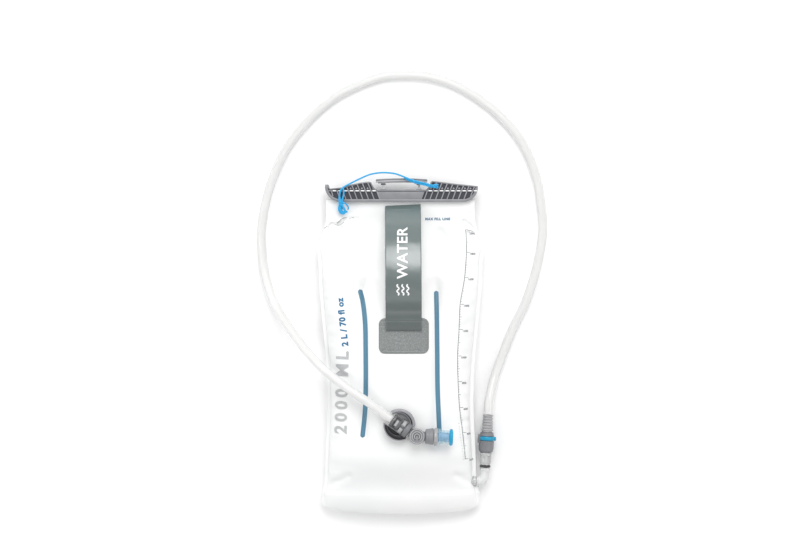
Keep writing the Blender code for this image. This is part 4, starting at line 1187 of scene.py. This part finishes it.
def makeBridge(setup):
    bm = bmesh.new()
    left, right, low, high = setup["left"], setup["right"], setup["low"], setup["high"]
    bow = [(left + (right - left) * k / 24, setup["y"] + 0.0012 * (1 - (k / 12 - 1) ** 2)) for k in range(25)]
    addBand(bm, [(x, y + 0.0010) for x, y in bow], 0.0015, low, high, 0.0005)
    addBand(bm, [(x, y - 0.0020) for x, y in bow[1:-1]], 0.0013, low + 0.0002, high - 0.0002, 0.0004)
    # painted highlight: a pale band along the middle of the bar, and pale posts and feet, lighter copies of the
    # bridge's grey where the light falls
    pale = bmesh.new()
    addBand(pale, [(x, y - 0.0005) for x, y in bow], 0.0022, low + 0.0008, high - 0.0008, 0.0002)
    for x in setup["postX"]:
        foot, top = setup["footY"] + 0.0003, setup["y"] - 0.0016
        sides = []
        for k in range(13):
            t = k / 12
            sides.append((0.0012 + 0.0013 * (2 * t - 1) ** 2, foot + (top - foot) * t))
        outline = [(x - w, y) for w, y in sides] + [(x + w, y) for w, y in reversed(sides)]
        addSlab(pale, outline, low + 0.0006, high - 0.0006, 0.0005)
        addBand(pale, [(x - 0.0030, foot + 0.0004), (x + 0.0030, foot + 0.0004)], 0.0010, low, high, 0.0003)
    addPiece("hangBridge", bm, looks["grey"], "slider", ["hang_bridge"])
    addPiece("bridgeHighlight", pale, looks["highlightGrey"], "slider")
    # painted shade: dark blocks just under the bar where each post meets it
    bm = bmesh.new()
    for x in setup["postX"]:
        addBlock(bm, (x - 0.0026, setup["y"] - 0.0041, low), (x + 0.0026, setup["y"] - 0.0026, high + 0.0002),
                 0.0004)
    addPiece("bridgeTieShade", bm, looks["paintedShadeGrey"], "slider")


makeRails()
makeSlideSeal(sealSetup)
makeBridge(bridgeSetup)
print("slide seal and hang bridge made")


# lanyard: one braided cord from the slide seal's wing to the film's eyelet
lanyardSetup = {
    "radius": 0.0009,
    "knotRadius": 0.00095,
    "route": [
        (0.0368, 0.1742, 0.0282), (0.0334, 0.1741, 0.0285), (0.0289, 0.1757, 0.0280), (0.0232, 0.1770, 0.0266),
        (0.0175, 0.1785, 0.0256), (0.0119, 0.1801, 0.0250), (0.0051, 0.1829, 0.0242), (-0.0021, 0.1858, 0.0232),
        (-0.0076, 0.1873, 0.0224), (-0.0147, 0.1881, 0.0216), (-0.0213, 0.1881, 0.0213),
        (-0.0279, 0.1873, 0.0214), (-0.0351, 0.1854, 0.0222), (-0.0433, 0.1817, 0.0240),
        (-0.0483, 0.1792, 0.0258), (-0.0538, 0.1763, 0.0268), (-0.0582, 0.1741, 0.0272),
        (-0.0622, 0.1716, 0.0274), (-0.0644, 0.1686, 0.0274), (-0.0654, 0.1653, 0.0272),
        (-0.0660, 0.1620, 0.0271), (-0.0661, 0.1581, 0.0270), (-0.0656, 0.1545, 0.0262),
        (-0.0655, 0.1505, 0.0242),
    ],
    "secondStrand": [(0.0360, 0.1725, 0.0272), (0.0320, 0.1727, 0.0274), (0.0284, 0.1741, 0.0270),
                     (0.0228, 0.1754, 0.0256), (0.0171, 0.1769, 0.0246), (0.0115, 0.1786, 0.0240),
                     (0.0070, 0.1808, 0.0232), (0.0040, 0.1826, 0.0232)],
    "wrap": [(0.0136, 0.1802, 0.0230), (0.0132, 0.1798, 0.0262), (0.0148, 0.1778, 0.0262),
             (0.0162, 0.1764, 0.0236)],
    "loop": [(-0.0622, 0.1716, 0.0284), (-0.0614, 0.1690, 0.0286), (-0.0612, 0.1660, 0.0285),
             (-0.0616, 0.1628, 0.0284), (-0.0626, 0.1592, 0.0283), (-0.0640, 0.1556, 0.0282)],
    "loopBack": [(-0.0628, 0.1712, 0.0286), (-0.0650, 0.1676, 0.0284), (-0.0657, 0.1630, 0.0282),
                 (-0.0650, 0.1585, 0.0282), (-0.0643, 0.1560, 0.0282)],
    "bow": [(-0.0640, 0.1552, 0.0280), (-0.0660, 0.1520, 0.0270), (-0.0664, 0.1480, 0.0256),
            (-0.0645, 0.1446, 0.0248), (-0.0612, 0.1440, 0.0248), (-0.0600, 0.1470, 0.0262),
            (-0.0622, 0.1515, 0.0280), (-0.0640, 0.1550, 0.0290)],
    "bowInner": [(-0.0636, 0.1548, 0.0276), (-0.0646, 0.1515, 0.0272), (-0.0645, 0.1480, 0.0262),
                 (-0.0625, 0.1456, 0.0258), (-0.0596, 0.1452, 0.0254), (-0.0574, 0.1462, 0.0250)],
    "looseEnd": [(-0.0630, 0.1553, 0.0286), (-0.0600, 0.1548, 0.0286), (-0.0576, 0.1528, 0.0272),
                 (-0.0563, 0.1500, 0.0252), (-0.0566, 0.1484, 0.0238)],
}


def knotPoints(centre, size, tilt):
    turn = Matrix.Rotation(tilt, 3, "Z") @ Matrix.Rotation(0.5, 3, "X")
    points = []
    for k in range(61):
        t = 2 * math.pi * k / 60
        spot = Vector((math.sin(t) + 2 * math.sin(2 * t), math.cos(t) - 2 * math.cos(2 * t),
                       -1.3 * math.sin(3 * t)))
        points.append(Vector(centre) + turn @ spot * size)
    return points


def makeLanyard(setup):
    thin = setup["radius"]
    route = smoothRoute(setup["route"], 0.0018)
    shape = curveTube("lanyardShape", route, thin, looks["cord"], 4)
    bpy.context.view_layer.update()
    bm = bmesh.new()
    meshFrom(shape, bm)
    bpy.data.objects.remove(shape, do_unlink=True)
    bmesh.ops.remove_doubles(bm, verts=bm.verts, dist=0.000001)
    bmesh.ops.recalc_face_normals(bm, faces=bm.faces)
    mesh = bpy.data.meshes.new("lanyardCord")
    bm.to_mesh(mesh)
    bm.free()
    mesh.materials.clear()
    mesh.materials.append(looks["cord"])
    mesh.shade_smooth()
    cord = bpy.data.objects.new("lanyardCord", mesh)
    pieceSet.objects.link(cord)
    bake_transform(cord)
    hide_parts("lanyard")

    def addStrand(name, points, body, replaced=(), radius=thin):
        strand = curveTube(name, points, radius, looks["cord"], 4)
        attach(strand, body)
        if replaced:
            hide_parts(*replaced)

    for name in ("secondStrand", "wrap"):
        addStrand("lanyard" + name[0].upper() + name[1:], smoothRoute(setup[name], 0.0008), "slider")
    for name, radius in (("loop", thin), ("loopBack", thin), ("bow", 0.0012), ("bowInner", 0.0011),
                         ("looseEnd", 0.0008)):
        addStrand("lanyard" + name[0].upper() + name[1:], smoothRoute(setup[name], 0.0008), "reservoir", (), radius)
    for name, centre, size, tilt, body, replaced in (
            ("sealKnot", (0.0385, 0.1733, 0.0278), 0.00082, 0.4, "slider", ["lanyard_knot"]),
            ("loopKnot", (-0.0640, 0.1555, 0.0284), 0.00080, 1.3, "reservoir", ()),
            ("eyeletKnot", (-0.0648, 0.1487, 0.0250), 0.00078, 2.1, "reservoir", ["eyelet_knot"])):
        addStrand(name, knotPoints(centre, size, tilt), body, replaced, setup["knotRadius"])
    length = routeLength(route)
    return length


lanyardLength = makeLanyard(lanyardSetup)
print("lanyard tied:", round(lanyardLength, 3), "m")


# outlet port, elbow and plug on the bag's side
outletSetup = {
    "portX": 0.0670, "portY": -0.1465, "portZ": 0.01428,
    "couplingAt": (0.0917, -0.1315, 0.0135),
    "lean": math.radians(3.4),
    "elbowRadius": 0.0053, "elbowBore": 0.0035,
}


def makeOutlet(setup):
    up = Vector((math.sin(setup["lean"]), math.cos(setup["lean"]), 0))
    foot = Vector((setup["portX"], setup["portY"], setup["portZ"]))
    port = axisMatrix(foot, (1, 0, 0))
    bm = bmesh.new()
    addTurned(bm, [(0.0072, 0.0), (0.0072, 0.0028), (0.0056, 0.0032), (0.0056, 0.0150), (0.0050, 0.0155),
                   (0.0035, 0.0155), (0.0035, 0.0)], port, 56, 0.0004)
    for z in (0.0062, 0.0092, 0.0122):
        addTurned(bm, ringProfile(0.0055, 0.0004, z), port)
    addPiece("portFitment", bm, looks["clear"], "reservoir", ["port_fitment"])

    end = Vector(setup["couplingAt"])
    start = foot + Vector((0.0161, 0, 0))
    turn = min(end.x - start.x, end.y - start.y) - 0.0004
    middle = Vector((end.x - up.x * 0.0075 - turn, start.y + turn, 0))
    bend = [start]
    for step in range(7):
        a = math.radians(-90 + 15 * step)
        bend.append(middle + Vector((turn * math.cos(a), turn * math.sin(a),
                                     start.z + (end.z - start.z) * step / 6)))
    bend += [end - up * 0.0040, end - up * 0.0003]
    route = smoothRoute(bend, 0.0009)
    shell = curveTube("elbowShape", route, setup["elbowRadius"], looks["softClear"], 12)
    shell.data.use_fill_caps = False
    bpy.context.view_layer.update()
    bm = bmesh.new()
    meshFrom(shell, bm)
    bpy.data.objects.remove(shell, do_unlink=True)
    bmesh.ops.recalc_face_normals(bm, faces=bm.faces)
    bmesh.ops.solidify(bm, geom=list(bm.faces), thickness=setup["elbowRadius"] - setup["elbowBore"])
    for share, grow in ((0.06, 0.0005), (0.94, 0.0006)):
        i = int(share * (len(route) - 1))
        here = axisMatrix(route[i], route[i + 1] - route[i])
        addTurned(bm, ringProfile(setup["elbowRadius"], grow, 0, 0.0009), here)
    bmesh.ops.recalc_face_normals(bm, faces=bm.faces)
    addPiece("portElbow", bm, looks["softClear"], "reservoir", ["port_elbow"])

    plug = axisMatrix(end, up)
    bm = bmesh.new()
    addTurned(bm, [(0.0030, 0.0400), (0.0030, 0.0390), (0.0022, 0.0390), (0.0022, 0.0374), (0.0030, 0.0374),
                   (0.0030, 0.0345), (0.0024, 0.0345), (0.0024, 0.0291), (0.0030, 0.0291), (0.0030, 0.0163),
                   (0.0060, 0.0163), (0.0065, 0.0156), (0.0065, 0.0140), (0.0058, 0.0132), (0.0058, 0.0112),
                   (0.0062, 0.0106), (0.0060, 0.0060), (0.0053, 0.0052), (0.0058, 0.0044), (0.0057, 0.0033),
                   (0.0030, 0.0033), (0.0030, -0.0020), (0.0017, -0.0020), (0.0017, 0.0400)], plug, 56, 0.00025)
    addSpokes(bm, plug, 10, (0.0056, -0.0004, 0.0052), (0.0063, 0.0004, 0.0135), 0.0002)
    addPiece("couplingPlug", bm, looks["clear"], "reservoir", ["port_insert"])
    addTurnedPiece("plugSeal", "rubber", "reservoir", "insert_o_ring", plug,
                   [(0.0058, 0.0028), (0.0058, 0.0003), (0.0033, 0.0003), (0.0033, 0.0028)], 48, 0.0008)
    addTurnedPiece("plugRing", "rubber", "reservoir", "seal_o_ring", plug,
                   ringProfile(0.0028, 0.0005, 0.0382))
    return plug


plugMatrix = makeOutlet(outletSetup)
print("outlet made")


# quick coupling: grip, blue latch, ringed strain relief
couplingSetup = {
    "bodyRadius": 0.0078, "slot": (0.0292, 0.0344), "latchRadius": 0.0088, "padReach": 0.0101,
    "low": 0.0168, "high": 0.0384, "flutes": 18,
}


def makeSpring(name, matrix, radius, wire, low, high, turns, body, node):
    points = []
    for k in range(turns * 20 + 1):
        a = 2 * math.pi * k / 20
        z = low + wire + (high - low - 2 * wire) * k / (turns * 20)
        points.append(matrix @ Vector((radius * math.cos(a), radius * math.sin(a), z)))
    coil = curveTube(name, points, wire, looks["steel"], 3)
    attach(coil, body)
    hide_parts(node)


def makeCoupling(setup, matrix):
    body = setup["bodyRadius"]
    low, high = setup["low"], setup["high"]
    slotLow, slotHigh = setup["slot"]
    bm = bmesh.new()
    addTurned(bm, [(0.0028, 0.0560), (0.0036, 0.0520), (0.0028, 0.0520), (0.0028, 0.0452), (0.0037, 0.0452),
                   (0.0037, high), (body - 0.0012, high), (body - 0.0006, high - 0.0006),
                   (body - 0.0006, slotHigh + 0.0018), (body + 0.0001, slotHigh + 0.0010),
                   (body + 0.0001, slotHigh), (body - 0.0022, slotHigh), (body - 0.0022, slotLow),
                   (body + 0.0001, slotLow), (body - 0.0001, low + 0.0018), (body - 0.0009, low),
                   (0.0034, low), (0.0034, 0.0440), (0.0021, 0.0440), (0.0021, 0.0490), (0.0014, 0.0490),
                   (0.0014, 0.0560)], Matrix.Identity(4), 108, 0.0002)
    bmesh.ops.subdivide_edges(bm, edges=[e for e in bm.edges if abs(e.verts[0].co.z - e.verts[1].co.z) > 0.006],
                              cuts=4, use_grid_fill=True)
    for v in bm.verts:
        reach = math.hypot(v.co.x, v.co.y)
        if reach > body - 0.0010 and low + 0.0022 < v.co.z < slotLow - 0.0012:
            a = math.atan2(v.co.y, v.co.x)
            grow = 1 + 0.00034 * max(0.0, math.cos(setup["flutes"] * a)) ** 2 / reach
            v.co.x, v.co.y = v.co.x * grow, v.co.y * grow
    bmesh.ops.transform(bm, matrix=matrix, verts=bm.verts)
    bmesh.ops.recalc_face_normals(bm, faces=bm.faces)
    carveBlock(bm, (-0.0059, -0.0120, slotLow), (0.0120, 0.0120, slotHigh), matrix)
    addBlock(bm, (-body - 0.0018, -0.0030, slotLow - 0.0028), (-body + 0.0021, 0.0030, slotHigh + 0.0014),
             0.0007, matrix)
    addPiece("couplingGrip", bm, looks["grey"], "hose_set", ["coupling_body"])

    wide = setup["latchRadius"]
    bottom, top = slotLow + 0.0003, slotHigh - 0.0003
    bm = bmesh.new()
    addTurned(bm, [(0.0060, bottom), (0.0060, top), (wide, top), (wide, bottom)], matrix, 72, 0.0016)
    carveBlock(bm, (-0.0200, -0.0050, bottom - 0.001), (-0.0045, 0.0050, top + 0.001), matrix)
    plate = [p for p in arcPoints(0, 0, 0.0066, -125, 125, 30)]
    plate = [(-0.0041, plate[0][1])] + plate + [(-0.0041, plate[-1][1])]
    addSlab(bm, plate, bottom, top, 0.0002, matrix=matrix)
    eye = bmesh.new()
    addSlab(eye, arcPoints(0.0015, 0, 0.0035, -90, 90, 12) + arcPoints(0, 0, 0.0035, 90, 270, 12),
            bottom - 0.001, top + 0.001, matrix=matrix)
    carve(bm, eye)
    addBlock(bm, (0.0068, -0.0036, bottom + 0.0001), (setup["padReach"], 0.0036, top - 0.0001), 0.0013, matrix, 3)
    addPiece("latchRing", bm, looks["blue"], "latch", ["latch_button"])

    relief = [(0.0050, 0.0573), (0.0040, 0.0573), (0.0040, high + 0.0003), (0.0060, high + 0.0003)]
    for ring in reversed(range(6)):
        crest, valley = 0.0056 + 0.0002 * ring, 0.0046 + 0.0002 * ring
        z = 0.0572 - ring * 0.0030
        relief += [(valley, z - 0.0028), (valley, z - 0.0021), (crest, z - 0.0017), (crest, z - 0.0002),
                   (valley, z)]
    addTurnedPiece("strainRelief", "greySoft", "hose_set", "strain_relief", matrix, relief[:-1], 56,
                   0.0004)
    addTurnedPiece("checkPoppet", "clear", "poppet", "check_poppet", matrix,
                   [(0, 0.0465), (0.0007, 0.0465), (0.0007, 0.0422), (0.0031, 0.0422), (0.0031, 0.0408),
                    (0.0022, 0.0403), (0, 0.0403)], 32, 0.0002, closed=False)
    makeSpring("poppetSpring", matrix, 0.0015, 0.0002, 0.0426, 0.0487, 5, "hose_set", "poppet_spring")
    side = matrix @ Matrix.Translation((-0.0057, 0, (slotLow + slotHigh) / 2))
    side = side @ Matrix.Rotation(math.pi / 2, 4, "Y")
    makeSpring("latchSpring", side, 0.0010, 0.00015, 0.0, 0.0013, 2, "hose_set", "latch_spring")


makeCoupling(couplingSetup, plugMatrix)
print("quick coupling made")


# bite valve, its swivelling clip and the shut-off knob
valveSetup = {
    "start": (-0.0090, -0.0765, 0.0605), "end": (0.0095, -0.0895, 0.0605), "knob": (0.0175, -0.0938, 0.0605),
    "outletTurn": math.radians(-2.3), "outletStart": 0.0088,
    "ringCentre": 0.0096, "ringOuter": 0.0171, "ringInner": 0.0121, "ringEnds": (-153, 166), "ringFront": 0.0236,
    "ringBore": 0.0069,
}


def makeClip(setup):
    start, end = Vector(setup["start"]), Vector(setup["end"])
    run = (end - start).normalized()
    long = (end - start).length
    barrel = axisMatrix(start, run)
    bm = bmesh.new()
    addTurned(bm, [(0.0066, 0.0), (0.0074, 0.0008), (0.0074, 0.0032), (0.0067, 0.0036), (0.0067, 0.0100),
                   (0.0052, 0.0104), (0.0052, 0.0116), (0.0062, 0.0120), (0.0064, 0.0150), (0.0060, 0.0156),
                   (0.0065, 0.0164), (0.0065, long - 0.0008), (0.0058, long), (0.0032, long), (0.0032, 0.0)],
              barrel, 72, 0.0003)
    # a snap tab stands in a slot cut round three of its sides
    for low, high in (((-0.0052, -0.0100, 0.0028), (0.0052, -0.0030, 0.0040)),
                      ((-0.0052, -0.0100, 0.0028), (-0.0042, -0.0030, 0.0088)),
                      ((0.0042, -0.0100, 0.0028), (0.0052, -0.0030, 0.0064))):
        carveBlock(bm, low, high, barrel)
    addPiece("clipBarrel", bm, looks["greyMid"], "hose_set", ["clip_barrel"])
    # painted highlight: the snap tab and the four grip pads are drawn in the pale grey for the bright facets the
    # light picks out
    bm = bmesh.new()
    addBlock(bm, (-0.0034, -0.0071, 0.0046), (0.0034, -0.0052, 0.0074), 0.0008, barrel, 3)
    addSpokes(bm, barrel, 4, (0.0050, -0.0035, 0.0113), (0.0073, 0.0035, 0.0153), 0.0006, first=math.pi / 4)
    addPiece("clipPads", bm, looks["highlightGrey"], "hose_set")

    flat = Matrix.Translation(start) @ Matrix.Rotation(math.atan2(run.y, run.x), 4, "Z")
    cx, outer, inner = setup["ringCentre"], setup["ringOuter"], setup["ringInner"]
    first, last = setup["ringEnds"]

    def carveRoom(bm):
        radius, past = setup["ringBore"], 0.01
        room = bmesh.new()
        addTurned(room, [(0, -past), (radius, -past), (radius, long + past), (0, long + past)], barrel, 64,
                  closed=False)
        carve(bm, room)

    front = setup["ringFront"]
    turn = arcPoints(cx, 0, outer, first, last, 60) + arcPoints(cx - 0.0010, 0, inner, last - 12, first + 12, 52)
    bm = bmesh.new()
    addSlab(bm, [(min(x, front), y) for x, y in turn], -0.0026, 0.0012, 0.0004, matrix=flat)
    inside = arcPoints(cx - 0.0008, 0, inner + 0.0006, 24, last - 14, 40)
    addBand(bm, inside, 0.0010, 0.0008, 0.0026, 0.0004, flat)
    addTurned(bm, [(0.0084, long - 0.0010), (0.0084, long - 0.0058), (0.0069, long - 0.0062),
                   (0.0069, long - 0.0010)], barrel, 64, 0.0006)
    carveRoom(bm)
    addPiece("clipRing", bm, looks["grey"], "clip", ["clip_ring"])
    # the ring's thin floor, in two halves beside the barrel: plain grey on one side, and on the other a painted
    # shade for the shadow that fills the lower half
    for name, look, start, stop in (("clipFloor", "grey", 40, 140), ("clipFloorShade", "paintedHollowShade", -140, -40)):
        bm = bmesh.new()
        addSlab(bm, arcPoints(cx - 0.0010, 0, inner + 0.0004, start, stop, 40), -0.0024, -0.0010, 0.0002,
                matrix=flat)
        addPiece(name, bm, looks[look], "clip")
    # painted highlight: a broad pale rim on one arm and a thin one on the other, lit copies of the ring's grey;
    # painted shade: dark hollows inside both
    bm = bmesh.new()
    wide = arcPoints(cx, 0, outer - 0.0017, -14, last - 3, 44)
    addBand(bm, [(min(x, front - 0.0014), y) for x, y in wide], 0.0027, 0.0008, 0.0030, 0.0007, flat)
    thin = arcPoints(cx, 0, outer - 0.0007, first + 2, -30, 40)
    addBand(bm, thin, 0.0011, 0.0008, 0.0030, 0.0004, flat)
    carveRoom(bm)
    addPiece("clipRimHighlight", bm, looks["raisedHighlightGrey"], "clip")
    bm = bmesh.new()
    hollow = arcPoints(cx, 0, outer - 0.0014, first + 6, -30, 30)
    addSlab(bm, hollow + arcPoints(cx - 0.0010, 0, inner + 0.0002, -32, first + 14, 30), 0.0010, 0.0015, 0.0001,
            matrix=flat)
    groove = arcPoints(cx - 0.0004, 0, outer - 0.0035, 22, last - 10, 40)
    addBand(bm, groove, 0.0012, 0.0010, 0.0015, 0.0, flat)
    addPiece("clipChannelShade", bm, looks["paintedHollowShade"], "clip")


def makeValve(setup):
    knob, end = Vector(setup["knob"]), Vector(setup["end"])
    at = Matrix.Translation(knob)
    out = Vector((math.cos(setup["outletTurn"]), math.sin(setup["outletTurn"]), 0))
    stub = axisMatrix(knob, out)
    bm = bmesh.new()
    addTurned(bm, [(0.0056, 0.0060), (0.0064, 0.0050), (0.0064, -0.0052), (0.0056, -0.0066), (0.0030, -0.0072),
                   (0, -0.0072), (0, -0.0050), (0.0043, -0.0050), (0.0043, 0.0060)], at, 64, 0.0004, closed=False)
    run = (end - Vector(setup["start"])).normalized()
    inlet = axisMatrix(end + run * 0.0006, knob - end)
    reach = (knob - end).length - 0.0050
    addTurned(bm, [(0.0022, 0.0006), (0.0046, 0.0006), (0.0046, reach), (0.0022, reach)], inlet, 40, 0.0003)
    addTurned(bm, [(0.0022, 0.0056), (0.0050, 0.0056), (0.0050, 0.0112), (0.0042, 0.0112), (0.0042, 0.0128),
                   (0.0050, 0.0128), (0.0050, 0.0138), (0.0022, 0.0138)], stub, 48, 0.0002)
    bmesh.ops.recalc_face_normals(bm, faces=bm.faces)
    addPiece("valveElbow", bm, looks["grey"], "hose_set", ["valve_elbow"])

    addTurnedPiece("knobSpindle", "grey", "shutoff", "shutoff_spindle", at,
                   [(0, 0.0064), (0.0039, 0.0064), (0.0039, -0.0040), (0.0032, -0.0046), (0, -0.0046)], 40,
                   0.0003, closed=False)
    bm = bmesh.new()
    addTurned(bm, [(0, 0.0065), (0.0074, 0.0065), (0.0082, 0.0072), (0.0083, 0.0090), (0.0077, 0.0098),
                   (0.0068, 0.0098), (0.0063, 0.0092), (0.0046, 0.0091), (0.0043, 0.0087), (0, 0.0086)], at, 72,
              0.0003, closed=False)
    addSpokes(bm, at, 28, (0.0079, -0.0003, 0.0071), (0.0085, 0.0003, 0.0090), 0.0001, 1)
    addPiece("shutoffKnob", bm, looks["greySeal"], "shutoff", ["shutoff_knob"])
    # painted shade: a darker disc sunk between the knob's raised arches, for the shade in the gaps
    addTurnedPiece("knobGapShade", "greyMid", "shutoff", None, at,
                   [(0, 0.0089), (0.0061, 0.0089), (0.0061, 0.0084), (0, 0.0084)], 56, closed=False)
    # painted highlight: the raised rim, arches and bar are drawn in the pale grey for the light on their tops
    bm = bmesh.new()
    addTurned(bm, [(0.0069, 0.0094), (0.0078, 0.0094), (0.0077, 0.0101), (0.0070, 0.0101)], at, 64, 0.0002)
    for reach, start, stop in ((0.0050, -52, 232), (0.0028, -60, 240)):
        addBand(bm, arcPoints(0, 0, reach, start, stop, 40), 0.0010, 0.0083, 0.0097, 0.0003, at)
    addBand(bm, [(0, -0.0044), (0, 0.0006)], 0.0010, 0.0083, 0.0096, 0.0003, at)
    addPiece("knobRings", bm, looks["highlightGrey"], "shutoff")

    base = axisMatrix(knob + out * setup["outletStart"], out)
    addTurnedPiece("valveBarrel", "greySeal", "bite_valve", "valve_barrel", base,
                   [(0.0054, 0.0), (0.0070, 0.0), (0.0077, 0.0008), (0.0081, 0.0034), (0.0079, 0.0037),
                    (0.0084, 0.0043), (0.0089, 0.0072), (0.0091, 0.0079), (0.0085, 0.0088), (0.0030, 0.0088),
                    (0.0030, 0.0060), (0.0054, 0.0060)], 72, 0.0003)
    addTurnedPiece("swivelRing", "rubber", "hose_set", "swivel_o_ring", base,
                   ringProfile(0.00465, 0.0004, 0.0032, 0.0005))
    bm = bmesh.new()
    addTurned(bm, [(0.0036, 0.0091), (0.0083, 0.0091), (0.0092, 0.0098), (0.0092, 0.0122), (0.0085, 0.0134),
                   (0.0036, 0.0134)], base, 72, 0.0005)
    addSpokes(bm, base, 12, (0.0086, -0.0009, 0.0096), (0.0095, 0.0009, 0.0124), 0.0003)
    addPiece("valveCollar", bm, looks["greySoft"], "bite_valve", ["valve_collar"])
    bm = bmesh.new()
    addTurned(bm, [(0.0018, 0.0138), (0.0059, 0.0138), (0.0059, 0.0150), (0.0038, 0.0160), (0.0035, 0.0240),
                   (0.0050, 0.0258), (0.0052, 0.0280), (0.0044, 0.0286), (0.0018, 0.0286)], base, 56, 0.0004)
    addSpokes(bm, base, 4, (0.0024, -0.0006, 0.0146), (0.0048, 0.0006, 0.0262), 0.0003)
    addPiece("mouthpieceCore", bm, looks["biteCore"], "bite_valve", ["mouthpiece_core"])
    addTurnedPiece("mouthpieceSleeve", "biteClear", "bite_valve", "mouthpiece_sleeve", base,
                   [(0.0062, 0.0138), (0.0079, 0.0138), (0.0089, 0.0144), (0.0089, 0.0156), (0.0076, 0.0170),
                    (0.0073, 0.0210), (0.0075, 0.0250), (0.0078, 0.0257), (0.0062, 0.0257)], 72, 0.0005)
    addTurnedPiece("mouthpieceLips", "biteBlue", "bite_valve", None, base,
                   [(0.0062, 0.0259), (0.0079, 0.0259), (0.0088, 0.0266), (0.0090, 0.0279), (0.0085, 0.0291),
                    (0.0068, 0.0297), (0.0008, 0.0299), (0.0008, 0.0291), (0.0058, 0.0290)], 72, 0.0003)


makeClip(valveSetup)
makeValve(valveSetup)
print("bite valve made")


# studio: pale floor, a broad key from beyond the slide seal, soft fill all round
studioSetup = {
    "floor": (0.97, 0.97, 0.97),
    "world": 0.66,
    "lights": [
        ("keyPanel", (0.15, 1.35, 1.90), 1.60, 27.0),
        ("leftPanel", (-1.50, 0.20, 1.30), 0.90, 6.5),
        ("rightPanel", (1.60, -0.20, 1.40), 0.90, 4.5),
        ("nearPanel", (0.0, -1.50, 1.80), 1.00, 1.6),
    ],
}


def makeStudio(setup):
    bm = bmesh.new()
    bmesh.ops.create_grid(bm, x_segments=2, y_segments=2, size=4.0)
    mesh = bpy.data.meshes.new("paleFloor")
    bm.to_mesh(mesh)
    bm.free()
    mesh.materials.append(nodeMaterial("paleFloor", setup["floor"], 0.85)[0])
    floor = bpy.data.objects.new("paleFloor", mesh)
    floor.location.z = -0.0002
    stageSet.objects.link(floor)

    world = bpy.data.worlds.new("studioWorld")
    world.use_nodes = True
    glow = world.node_tree.nodes["Background"]
    glow.inputs["Color"].default_value = (1.0, 1.0, 1.0, 1)
    glow.inputs["Strength"].default_value = setup["world"]
    scene.world = world
    target = Vector((0.0, 0.05, 0.02))
    for name, at, size, power in setup["lights"]:
        lamp = bpy.data.lights.new(name, "AREA")
        lamp.shape = "DISK"
        lamp.size = size
        lamp.energy = power
        made = bpy.data.objects.new(name, lamp)
        made.location = at
        made.rotation_euler = (target - Vector(at)).to_track_quat("-Z", "Y").to_euler()
        stageSet.objects.link(made)
    scene.view_settings.view_transform = "Standard"
    scene.view_settings.look = "None"
    scene.view_settings.exposure = 0.0


makeStudio(studioSetup)
print("studio lit")
